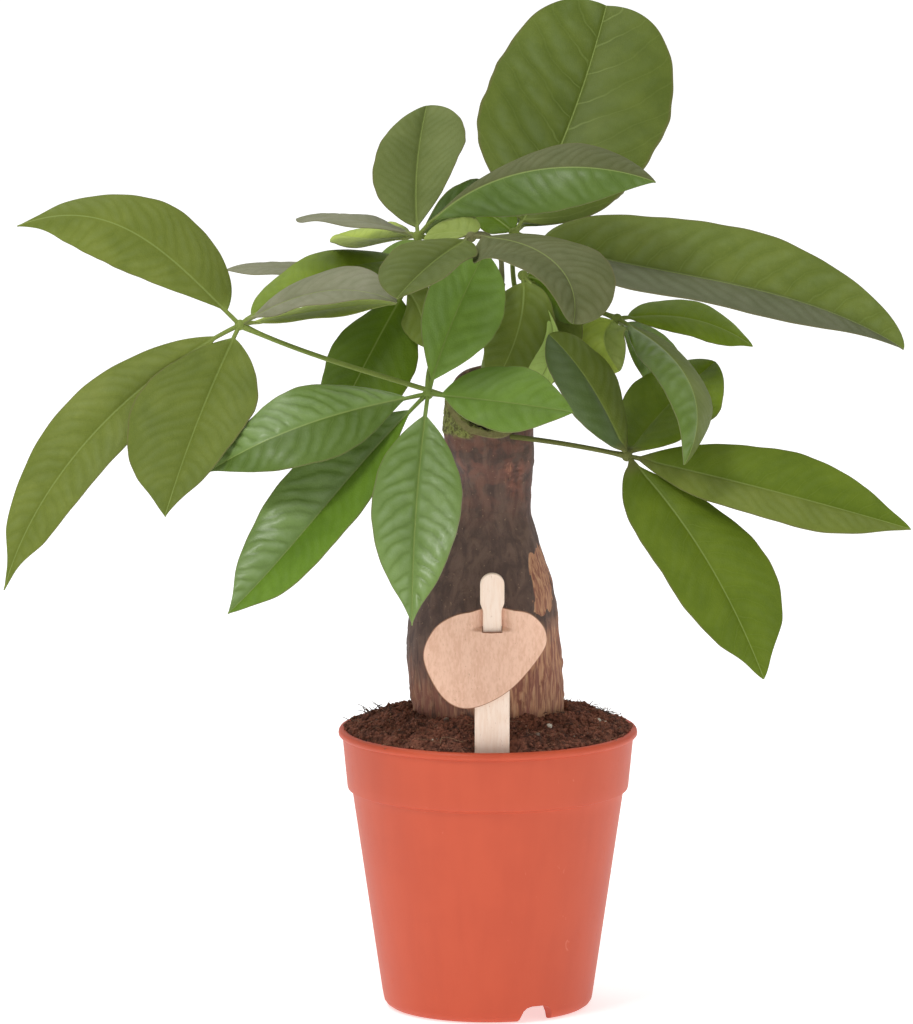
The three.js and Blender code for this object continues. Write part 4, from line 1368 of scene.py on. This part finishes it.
@dataclass
class Leaf:
    """A palmate leaf: a petiole and the leaflets that fan out from its hub."""

    node: str
    petiole: tuple[Point, ...]
    leaflets: tuple[Leaflet, ...]
    stalk: float = 0.07  # share of a leaflet's length that is its bare stalk
    tint: tuple = srgb(120, 134, 64)  # its stalks' green
    stalk_half: float = 0.9
    petiole_radius: float = 1.05
    hub_radius: float = 2.4
    swell: float = 0.07
    wave: float = 0.05
    pitch: float = 0.75  # between rows of faces
    thick: tuple[float, float] = (0.55, 0.3)  # the blade's, by the midrib and at the margin
    rib_thick: float = 0.6
    rib_spread: float = 0.75
    groove: float = 0.32  # the midrib's, on the upper side
    stalk_radius: float = 0.85
    reaches: tuple[float, ...] = (  # columns of points, as shares of a half's width
        0.0, 0.03, 0.07, 0.12, 0.19, 0.28, 0.38, 0.48, 0.58, 0.68, 0.78, 0.87, 0.94, 0.98, 1.0,
    )

    def half_width(self, t: np.ndarray, side: Half, drip: float, seed: float) -> np.ndarray:
        """Width of one half at places from its base, 0, to its tip, 1."""
        s = np.clip((t - self.stalk) / (1 - self.stalk), 0, 1)
        peak = side.start / (side.start + side.end)
        share = (s**side.start * (1 - s) ** side.end) / (peak**side.start * (1 - peak) ** side.end)
        share = share * (1 - drip * smoothstep(0.82, 0.95, s))
        ripple = 1 + 0.007 * np.sin(28 * s + seed) + 0.004 * np.sin(61 * s + 2 * seed)
        return np.maximum(side.width * share * ripple, self.stalk_half * (1 - 0.7 * t))

    def spine(self, line: np.ndarray) -> tuple[np.ndarray, np.ndarray, np.ndarray]:
        """Set out a leaflet's rows along its midrib, closer at its base and tip.

        Args:
            line: the midrib's points.

        Returns:
            Each row's place from 0 to 1, its point and the direction of the midrib there.
        """
        steps = np.diff(along(line, np.linspace(0, 1, 50)), axis=0)
        rows = max(40, int(float(np.linalg.norm(steps, axis=1).sum()) / self.pitch))
        share = np.linspace(0, 1, rows)
        eased = 0.3 * share + 0.35 * (1 - np.cos(np.pi * share))
        t = np.concatenate([[0, 0.02, 0.045], self.stalk + (1 - self.stalk) * eased])
        ahead, behind = along(line, np.minimum(1, t + 0.01)), along(line, np.maximum(0, t - 0.01))
        return t, along(line, t), unit(ahead - behind)

    @staticmethod
    def spread(side: Half, sign: float, t: np.ndarray, heading: np.ndarray) -> tuple[np.ndarray, np.ndarray]:
        """Find which way one half spreads, and its normal, at each row.

        Args:
            side: the half.
            sign: -1 for the left half and 1 for the right.
            t: the rows' places from 0 to 1.
            heading: the midrib's direction at each.

        Returns:
            The way out to its margin and the way up from its upper side.
        """
        across = unit(np.cross(SIGHT.forward, heading))
        turn = np.radians(blend(*np.broadcast_to(side.turn, 2), t))[:, None]
        out = np.cross(heading, across) * np.sin(turn) + sign * across * np.cos(turn)
        ahead = (side.sweep + side.lobe * smoothstep(0.7, 1.0, t))[:, None]
        return out + heading * ahead, unit(np.cross(out * sign, heading))

    @staticmethod
    def veins(
        gone: np.ndarray, spread: np.ndarray, reach: float, right: bool, gap: float, seed: float
    ) -> np.ndarray:
        """Number the veins on a half: they run outwards and ahead, and wander a little.

        Args:
            gone: how far along the midrib each row is.
            spread: how far from the midrib each row's point is.
            reach: the same as a share of the half's width.
            right: whether it is the right half.
            gap: the millimetres between its veins.
            seed: what sets this leaflet apart.

        Returns:
            Each place's number of veins from the base, whole on a vein.
        """
        phase = (gone - spread * (0.42 + 0.5 * reach)) / gap + 0.43 * right
        loose = min(1.0, 4.0 / gap)
        phase = phase + 0.25 * loose * np.sin(gone * 0.31 + seed * 3.1 + (-1 if right else 1))
        return phase + 0.06 * loose * np.sin(gone * 0.83 + spread * 0.5 + seed)

    @staticmethod
    def puff(phase: np.ndarray, spread: np.ndarray, right: bool, seed: float) -> np.ndarray:
        """Say how far the panel between two veins bulges: each has its own luck."""
        number = np.floor(phase) + 50 * right
        luck = np.modf(np.abs(np.sin(number * 12.9898 + seed * 78.233)) * 43758.5453)[0]
        return (0.55 + 0.75 * luck) * (0.8 + 0.2 * np.cos(spread * 0.8 + 6.3 * luck))

    def blade(self, draft: Draft, leaflet: Leaflet, seed: float) -> None:
        """Add one leaflet: a thin sheet with a grooved midrib and panels that bulge between its veins."""
        line = np.array([SIGHT.place(point) for point in (self.petiole[-1], *leaflet.rib)])
        t, centre, heading = self.spine(line)
        gone = np.concatenate([[0], np.cumsum(np.linalg.norm(np.diff(centre, axis=0), axis=1))])[:, None]
        halves = []
        looks = (leaflet.look, leaflet.other or leaflet.look)
        for side, sign, look in zip((leaflet.left, leaflet.right), (-1.0, 1.0), looks):
            width = self.half_width(t, side, leaflet.drip, seed + sign)[:, None]
            halves.append((*self.spread(side, sign, t, heading), width, look.value))
        crest = unit(halves[0][1] + halves[1][1])

        columns = [*(-reach for reach in self.reaches[:0:-1]), *self.reaches]
        t_column, full = t[:, None], np.ones((len(t), 1))
        base = smoothstep(0.045, 0.115, t_column)
        body = smoothstep(0.09, 0.2, t_column) * (1 - smoothstep(0.9, 1.0, t_column))
        carried = ("blade", "vein", "look", "tint")
        stack: dict[str, list[np.ndarray]] = {key: [] for key in ("top", "under", *carried)}
        for s in columns:
            reach, right = abs(s), s >= 0
            out, normal, width, face = halves[right]
            spread = reach * width
            up = unit(blend(crest, normal, smoothstep(0.0, 2.4, spread)))
            phase = self.veins(gone, spread, reach, right, face.gap, seed)
            panel = np.abs(np.sin(np.pi * phase)) ** 0.75
            fade = smoothstep(0.6, 3.2, spread) * (1 - smoothstep(0.72, 1.0, reach)) * body
            rib = np.exp(-((spread / self.rib_spread) ** 2)) * (1 - 0.72 * t_column)
            bulge = face.quilt * (panel * self.puff(phase, spread, right, seed) - 0.5)
            lift = bulge * fade - self.groove * rib * base
            thick = blend(*self.thick, reach) + self.rib_thick * rib + 0.1 * (1 - panel) * fade
            wave = self.wave * reach * reach * np.sin(4 * np.pi * t_column + (2 if right else 0))
            sheet = width * (4 * self.swell * reach * (1 - reach) + wave)
            round_half = self.stalk_radius * math.sqrt(max(0.0, 1 - reach * reach)) + 0.06
            point = centre + out * spread
            stack["top"].append(point + up * (sheet + blend(round_half, lift, base)))
            stack["under"].append(point + up * (sheet + blend(-round_half, lift - thick, base)))
            stack["blade"].append(np.hstack([full * s, t_column, spread]))
            stack["vein"].append(np.hstack([phase, full * face.drawn, full * seed]))
            stack["look"].append(np.hstack([full * face.gloss, full * face.relief, full * 0]))
            stack["tint"].append(blend(np.array(self.tint[:3]), np.array(face.green[:3]), base))
        count = len(t) * len(columns)
        skin = {key: np.stack(part, axis=1).reshape(count, 3) for key, part in stack.items()}
        bare = np.repeat(1 - base[:, 0], len(columns))
        skins = [np.stack([np.full(count, value), bare, np.zeros(count)], axis=1) for value in (0.0, 1.0)]
        draft.add(
            np.vstack([skin["top"], skin["under"]]),
            sheet_faces(len(t) - 1, len(columns) - 1),
            skin=np.vstack(skins),
            **{key: np.vstack([skin[key]] * 2) for key in carried},
        )

    def rod(self, draft: Draft, seed: float) -> None:
        """Add the petiole, swollen at both ends, and the hub."""
        share = np.linspace(0, 1, 64)
        path = along(np.array([SIGHT.place(point) for point in self.petiole]), share)
        foot, tip = np.exp(-((share / 0.07) ** 2)), np.exp(-(((1 - share) / 0.06) ** 2))
        radii = self.petiole_radius * (1.0 + 0.5 * foot + 0.45 * tip - 0.08 * share)
        turn = np.linspace(-0.5 * np.pi, 0.5 * np.pi, 13)[1:-1]
        hub = path[-1] + self.hub_radius * 0.9 * np.outer(np.sin(turn), unit(path[-1] - path[-3]))
        for points, faces in (tube(path, radii, 14), tube(hub, self.hub_radius * 0.92 * np.cos(turn), 16)):
            draft.add(
                points,
                faces,
                blade=np.array([0, 0.5, 9.0]),
                vein=np.array([0.5, 0, seed]),
                look=np.array([0.3, 0, 0]),
                skin=np.array([0, 1, 0]),
                tint=np.array(self.tint[:3]),
            )

    def build(self) -> bpy.types.Object:
        """Build the whole leaf."""
        draft = Draft()
        seed = sum(ord(letter) for letter in self.node) % 17 * 0.37
        self.rod(draft, seed)
        for number, leaflet in enumerate(self.leaflets):
            self.blade(draft, leaflet, seed + number * 1.7)
        return keep(draft.build(f"{self.node}_green", LeafFinish(), 55.0), "leaf", self.node)


LEAVES = (
    Leaf(
        "leaf_a",
        ((-4, 238.5, 4), (-35.7, 248.7, -20), (-67.4, 258.6, -28), (-99.2, 271.2, -30)),
        (
            Leaflet(((-125.2, 296.4, -36), (-153.6, 313.2, -40), (-188.4, 310.8, -38)),
                Half(16, (-20, 0), 1.15, 0.95), Half(22, (36, 44), 0.55, 1.25), drip=0.3),
            Leaflet(((-140, 244.8, -38), (-173.2, 208.4, -50), (-193.6, 165.2, -62)),
                Half(15, -30, 0.95, 0.85, -0.1), Half(17, (24, 14), 0.95, 1.15), drip=0.5),
            Leaflet(((-115.6, 234, -52), (-129.2, 194.8, -84)),
                Half(23, -34, 0.8, 1.1), Half(27, 14, 0.95, 0.95), Look.KHAKI, drip=0.2),
            Leaflet(((-66, 291, 6), (-32, 297, 30)), *pair(18, 60, -50, 0.85, 0.8), Look.FRESH),
            Leaflet(((-66.4, 284.6, -48), (-36.4, 280.4, -66)), *pair(17, 58, -70, 1, 0.9), Look.GLANCE_GREY),
            Leaflet(((-66.4, 277.2, -36), (-37, 280, -50)), *pair(10, 70, -70, 0.9, 0.8), Look.YOUNG),
        ),
        tint=srgb(130, 146, 72),
    ),
    Leaf(
        "leaf_b",
        ((-2, 276, 0), (-19.5, 262, -32), (-24, 243.6, -45)),
        (
            Leaflet(((-54.4, 237.2, -60), (-84, 227.2, -72), (-112, 212.4, -64)),
                Half(18, -26, 1.2, 1.25), Half(19.5, 42, 0.95, 1.05), Look.LUSH, Look.QUILTED),
            Leaflet(((-50.8, 215.6, -58), (-79.2, 182.4, -74), (-104, 156, -92)),
                Half(21.4, -52, 1.15, 0.9), Half(20.5, 18, 0.95, 1.1), Look.PLAIN, Look.QUILTED, 0.2),
            Leaflet(((-28.8, 197.6, -82), (-30.4, 151.2, -108)),
                *pair(18.5, -16, -18, 1, 1.2), Look.QUILTED, drip=0.2),
            Leaflet(((-14.2, 272.4, -34), (-1.2, 300.4, -18)),
                *pair(18.5, -40, 12, 1, 0.65), Look.BRIGHT),
            Leaflet(((5.2, 240.6, -66), (34, 236.4, -82)),
                Half(19, 38, 0.6, 0.95), Half(18, -50, 1.2, 0.9), Look.BRIGHT),
        ),
        stalk=0.09,
        tint=srgb(112, 132, 62),
    ),
    Leaf(
        "leaf_c",
        ((4, 284, 2), (-12, 300, -2), (-28, 306.8, -8)),
        (
            Leaflet(((-28.6, 332.5, 20), (-24.5, 359, 46)),
                Half(18.5, -20, 0.8, 0.8, -0.4), Half(19.5, -24, 0.9, 0.55, 0.1), Look.SOFT),
            Leaflet(((0.4, 328, -24), (34.4, 334.4, -34), (67.2, 328.4, -34)),
                Half(17, 57, 1.7, 0.9), Half(18, -12, 1.1, 1.1), Look.SHEEN_GREY, Look.LUSH),
            Leaflet(((-54.4, 313.2, 6), (-76.4, 314, 22)), *pair(14, -78, 78, 0.8, 0.8), Look.GLANCE_GREY),
            Leaflet(((-48, 306, 26), (-60, 307.6, 44)), *pair(12, -70, 55, 0.8, 0.8), Look.YOUNG),
            Leaflet(((-13, 317, 10), (1, 323.5, 24)), *pair(11, -40, 25, 0.8, 0.6), Look.LUSH),
        ),
    ),
    Leaf(
        "leaf_m",
        ((5, 288, 2), (4, 302, -6), (-1.5, 307.5, -20), (-6.8, 306.4, -34)),
        (
            Leaflet(((-22.4, 296, -62), (-36.4, 282, -86)),
                Half(20, -62, 0.85, 0.6), Half(16.5, 32, 0.85, 0.6), Look.MOSSY),
            Leaflet(((15.5, 303, -60), (31, 291, -84), (34, 271.6, -96)),
                Half(20, (78, 10), 0.9, 0.6), Half(27, -55, 0.6, 0.65), Look.SHEEN_GREY),
            Leaflet(((-14.8, 308.4, -24), (-25.5, 306.2, -14)), *pair(11, -50, 50, 0.5, 0.7), Look.FADED),
        ),
        tint=srgb(112, 112, 74),
    ),
    Leaf(
        "leaf_d",
        ((12, 281, 14), (9.9, 293, 9), (10.5, 308, -2)),
        (
            Leaflet(((30.8, 347.2, 44), (47.4, 399, 86)),
                Half(39, -20, 0.6, 0.45, -0.3, 0.28), Half(38, -12, 0.6, 0.46, 0.06, 0.05),
                Look.BROAD, Look.CALM),
            Leaflet(((62.8, 294.4, -8), (116.4, 283, -6), (166.4, 261.6, 4)),
                Half(26, 28, 0.5, 0.6), Half(26, -65, 0.75, 1.05), Look.LONG, Look.GREYED),
            Leaflet(((30, 326, 60), (42, 338, 115)), *pair(22, 40, -30, 0.8, 0.7), Look.DEEP),
            Leaflet(((3.5, 313.6, 4), (-7.5, 320.5, 9)), *pair(8, -30, 20, 0.7, 0.7), Look.DEEP),
        ),
    ),
    Leaf(
        "leaf_e",
        ((-1, 227.5, -3), (27, 224.2, -28), (55.6, 218.8, -35)),
        (
            Leaflet(((41.2, 247.2, -36), (24.4, 267.6, -34)),
                *pair(16, -40, 50, 0.7, 0.65), Look.COOL, Look.SHADED),
            Leaflet(((71, 238, -8), (91, 256.6, 14)),
                Half(21, 44, 0.75, 0.55), Half(23, -46, 0.75, 0.55, -0.35), Look.FRESH),
            Leaflet(((112.4, 205.2, -46), (169.2, 189.6, -46)),
                Half(19.5, 30, 0.9, 0.85), Half(19, -52, 0.9, 0.9), Look.SMOOTH, Look.OLIVE, 0.2),
            Leaflet(((86.4, 179, -62), (110.4, 129.6, -78)),
                Half(22.5, 20, 1.35, 0.85), Half(23, -36, 0.6, 0.75), Look.SMOOTH, drip=0.3),
        ),
        stalk=0.035,
        tint=srgb(108, 112, 60),
    ),
    Leaf(
        "leaf_f",
        ((11.5, 272, 14), (32, 278, 6), (51.6, 273.6, -6)),
        (
            Leaflet(((80.8, 273.8, 8), (106, 262.8, 18)),
                Half(13, 57, 0.75, 0.8), Half(10, -42, 0.75, 0.8), Look.FRESH, drip=0.2),
            Leaflet(((72, 260, -34), (83.2, 240.4, -56), (78.6, 215.2, -68)),
                *pair(15, 70, -40, 0.8, 0.8), Look.SOFT, Look.GLOSSY),
            Leaflet(((46.4, 265.2, -14), (52.8, 252.8, -18)),
                Half(14, -50, 0.8, 0.7), Half(16, 20, 0.8, 0.7), Look.FADED, Look.YOUNG),
            Leaflet(((68, 256, 30), (84, 240, 62)), *pair(13, 40, -40, 0.8, 0.7), Look.DEEP),
        ),
    ),
    Leaf(
        "leaf_h",
        ((0.5, 262, 2), (-18, 276, 20), (-33.2, 285.2, 30)),
        (
            Leaflet(((-47.5, 259, 20), (-64, 226, 8)), *pair(20, -10, 42, 0.8, 0.75), Look.DEEP),
            Leaflet(((-71.2, 293, 46), (-104.8, 293.4, 52)), *pair(14, -75, 75, 0.8, 0.8), Look.GLANCE_GREY),
            Leaflet(((-27.5, 277, 18), (-24, 262, 10)), *pair(10, -20, 30, 0.8, 0.7), Look.SHADED),
            Leaflet(((-58, 288, 78), (-74, 284, 116)), *pair(16, -50, 50, 0.8, 0.8), Look.DEEP),
            Leaflet(((-38, 294, 82), (-48, 290, 126)), *pair(18, -50, 50, 0.8, 0.8), Look.DEEP),
        ),
    ),
    Leaf(
        "leaf_i",
        ((11.3, 264, 13), (14, 279, 4), (14, 291, -7)),
        (
            Leaflet(((12, 269, -20), (1.5, 246, -20)),
                Half(15, -20, 0.6, 0.6), Half(16, 26, 0.34, 0.6), Look.SHADED),
            Leaflet(((27, 285, -14), (35.5, 271.5, -20)),
                Half(12, -30, 0.8, 0.7), Half(11, 40, 0.8, 0.7), Look.DEEP),
            Leaflet(((26, 266, -26), (14.8, 242.4, -26)), *pair(6.5, -40, 10, 2.6, 0.8), Look.PALE),
            Leaflet(((33, 294, 30), (50, 299, 74)), *pair(15, 50, -50, 1.5, 0.8), Look.DEEP),
            Leaflet(((26.5, 270, -12), (18, 246, -12)),
                Half(12, -20, 0.6, 0.7), Half(13, 28, 0.6, 0.7), Look.SHADED, Look.FRESH),
        ),
    ),
)


# ---------------------------------------------------------------- label


@dataclass
class Label:
    """The plant label: a flat stick threaded through a slot in a thin wooden disc."""

    foot: Point = (1.5, -51.0, 113.0)
    lean: float = 6.0  # degrees towards the front
    stick_thickness: float = 1.8
    disc_thickness: float = 1.3
    gap: float = 0.3
    slot_half: float = 3.88
    slot_height: float = 1.8
    slot_centre: float = 49.8
    bulge: float = 3.6
    disc_edge: float = 0.02  # how far the disc's edges are softened
    stick_edge: float = 0.3
    stick_bare: float = 0.35  # how brown its edge is
    stick: tuple[tuple[float, float], ...] = (
        (-44, 1.2), (-37, 6.9), (36, 6.9), (42, 3.7), (57.5, 3.7), (60.5, 4.8), (67.9, 4.8),
    )
    disc: tuple[tuple[float, float], ...] = (
        (-27.1, 37.6), (-23.8, 49.1), (-16.3, 55.2), (-6.4, 57.5), (9, 57.9), (16.5, 55.6),
        (21.3, 48.8), (19.7, 40.6), (7, 25.3), (-8.4, 17.8), (-19.4, 22.1),
    )

    def stand(self, points: np.ndarray) -> np.ndarray:
        """Lean points towards the front and put them at the label's foot."""
        turn = np.array(Matrix.Rotation(math.radians(self.lean), 3, "X"))
        return points @ turn.T + np.array(self.foot)

    def stick_outline(self) -> np.ndarray:
        """List the stick's outline, counter-clockwise as seen from the front, with its round head."""
        heights, halves = np.array(self.stick).T
        levels = [*heights[:1], -40.5, *heights[1:2], *np.linspace(-34, 34, 18)]
        levels += list(np.linspace(35, heights[-1], 40))
        right = list(zip(np.interp(levels, heights, halves), levels))
        radius, angles = halves[-1], np.linspace(0, np.pi, 22)[1:-1]
        head = [(radius * math.cos(angle), heights[-1] + radius * math.sin(angle)) for angle in angles]
        return np.array(right + head + [(-x, z) for x, z in reversed(right)])

    def plate(self, loops: list[tuple[np.ndarray, Any, float]], hollow: bool = False) -> Draft:
        """Make a plate that stands on the label's foot.

        Args:
            loops: its loops of points from the front's to the back's, each with how far back it stands and
                how bare its edge is.
            hollow: whether the last loop joins the first; otherwise both are filled.

        Returns:
            The plate.
        """
        count, total = len(loops[0][0]), len(loops)
        points = [
            np.stack([loop[:, 0], np.broadcast_to(back, count), loop[:, 1]], axis=1)
            for loop, back, _ in loops
        ]
        ends = [range(count), range(total * count - 1, (total - 1) * count - 1, -1)]
        faces = [] if hollow else [list(end) for end in ends]
        for ring in range(total if hollow else total - 1):
            sides = band((ring + 1) % total * count, ring * count, count)
            faces += np.roll(sides, 1, axis=1).tolist()
        wood = np.repeat([[edge] * 3 for _, _, edge in loops], count, axis=0)
        return Draft(self.stand(np.vstack(points)), faces, wood=wood)

    def bow(self, loop: np.ndarray) -> np.ndarray:
        """Say how far back the disc stands: the strip above its slot goes behind the stick."""
        aside = smoothstep(self.slot_half - 0.8, self.slot_half + 5.5, np.abs(loop[:, 0]))
        above = smoothstep(self.slot_centre - 0.6, self.slot_centre + 0.9, loop[:, 1])
        return self.bulge * (1 - aside) * above - (self.stick_thickness / 2 + self.gap)

    def build_disc(self) -> bpy.types.Object:
        """Build the disc in steps from its slot's edge to its rim, on its front and on its back."""
        knots = np.array([*self.disc[-2:], *self.disc, *self.disc[:3]], dtype=float)
        rim = rounded(knots, np.linspace(2, 2 + len(self.disc), 145)[:-1])
        centre = np.array([0.0, self.slot_centre])
        away = np.abs(rim - centre) / (self.slot_half, self.slot_height / 2)
        slot = centre + (rim - centre) / away.max(axis=1)[:, None]
        soft, depth = self.disc_edge, self.disc_thickness
        steps = [0.0, *np.linspace(soft, 1 - soft, 26), 1.0]
        front, back = [], []
        for step in steps:
            loop, edge = blend(slot, rim, step), float(step in (0.0, 1.0))
            stand = self.bow(loop)
            front.append((loop, soft * edge - depth + stand, edge))
            back.append((loop, stand - soft * edge, edge))
        finish = WoodFinish(
            "wood_disc",
            pale=srgb(231, 190, 165),
            grain=srgb(217, 173, 147),
            cut=srgb(150, 104, 78),
            stretch=(1.0, 1.0, 0.35),
        )
        disc = self.plate(front + back[::-1], True).build("label_disc_wood", finish, 35.0)
        return keep(disc, "disc_wood", "label_disc")

    def build_stick(self) -> bpy.types.Object:
        """Build the stick: its two faces, with a softened edge all round."""
        outline, half, soft = self.stick_outline(), self.stick_thickness / 2, self.stick_edge
        along_edge = np.roll(outline, -1, axis=0) - np.roll(outline, 1, axis=0)
        inset = outline - unit(np.stack([along_edge[:, 1], -along_edge[:, 0]], axis=1)) * soft
        edges = [(outline, soft - half, self.stick_bare), (outline, half - soft, self.stick_bare)]
        stick = self.plate([(inset, -half, 0.0), *edges, (inset, half, 0.0)])
        stick = stick.build("label_stick_wood", WoodFinish("wood_stick"), 30.0)
        return keep(stick, "stick_wood", "label_stick")

    def build(self) -> None:
        """Build both pieces."""
        self.build_stick()
        self.build_disc()


# ---------------------------------------------------------------- studio


@dataclass
class Studio:
    """The pale floor, the soft light and the camera."""

    focal: float = 351.6
    sensor: float = 36.0
    far: float = 60.0  # metres, past the floor's visible part
    floor_half: float = 30000.0
    floor_height: float = -0.15
    softboxes: tuple[tuple[str, Point, float, float], ...] = (  # name, place and side in metres, watts
        ("softbox_key", (-1.1, -1.5, 2.3), 0.75, 25.0),
        ("softbox_top", (-0.6, 0.5, 2.4), 1.4, 13.0),
        ("softbox_fill", (2.2, -1.8, 0.9), 1.6, 8.0),
    )

    def camera(self) -> None:
        """Set up the camera on the viewer's sight."""
        lens = bpy.data.cameras.new("camera")
        lens.lens, lens.sensor_width = self.focal, self.sensor
        lens.clip_end = self.far
        camera = bpy.data.objects.new("camera", lens)
        rise = math.radians(SIGHT.rise)
        aim = Vector((SIGHT.across, 0.0, SIGHT.height)) * MM
        camera.location = aim + Vector((0, -math.cos(rise), math.sin(rise))) * SIGHT.distance * MM
        camera.rotation_euler = (math.pi / 2 - rise, 0.0, 0.0)
        bpy.context.scene.collection.objects.link(camera)
        bpy.context.scene.camera = camera

    def floor(self) -> None:
        """Lay the floor."""
        corners = [(-1, -1), (1, -1), (1, 1), (-1, 1)]
        points = np.array([(x * self.floor_half, y * self.floor_half, self.floor_height) for x, y in corners])
        Draft(points, [[0, 1, 2, 3]]).build("studio_floor", FloorFinish())

    def softbox(self, name: str, place: Point, size: float, power: float) -> None:
        """Hang a square soft light that faces the plant, with its place in metres."""
        light = bpy.data.lights.new(name, "AREA")
        light.shape, light.size, light.energy = "SQUARE", size, power
        lamp = bpy.data.objects.new(name, light)
        lamp.location = place
        direction = Vector((0.0, 0.0, 0.2)) - Vector(place)
        lamp.rotation_euler = direction.to_track_quat("-Z", "Y").to_euler()
        bpy.context.scene.collection.objects.link(lamp)

    def light(self) -> None:
        """Light the plant softly from all round, a little more from above and the left."""
        world = bpy.data.worlds.new("studio_air")
        world.use_nodes = True
        board = Board(world.node_tree)
        sky = board.flow("ShaderNodeTexCoord", None, {}, "Generated")
        _, back, up = board.split(sky)
        strength = 0.28 + up.eased(-0.1, 0.9, 0.0, 0.34) + back.eased(-0.6, 0.8, 0.0, 0.14)
        air = board.node("ShaderNodeBackground", None, {"Color": (1, 1, 1, 1), "Strength": strength})
        board.node("ShaderNodeOutputWorld", None, {"Surface": air.outputs[0]})
        bpy.context.scene.world = world
        for box in self.softboxes:
            self.softbox(*box)

    def build(self) -> None:
        """Build the studio."""
        self.camera()
        self.floor()
        self.light()
        view = bpy.context.scene.view_settings
        view.view_transform, view.look = "Standard", "None"


def main() -> None:
    """Build the studio and the plant, piece by piece."""
    logging.basicConfig(level=logging.INFO, format="%(name)s %(message)s", stream=sys.stdout)
    Studio().build()
    pot = Pot()
    pot.build()
    Soil(pot).build()
    Stump().build()
    Shoot("shoot_main", ((-3, 226, 0), (0.5, 260, 2), (5, 288, 2))).build()
    Shoot("shoot_side", ((7, 230, 4), (11, 260, 13), (12, 284, 14))).build()
    for leaf in LEAVES:
        leaf.build()
    Label().build()


if __name__ == "__main__":
    main()
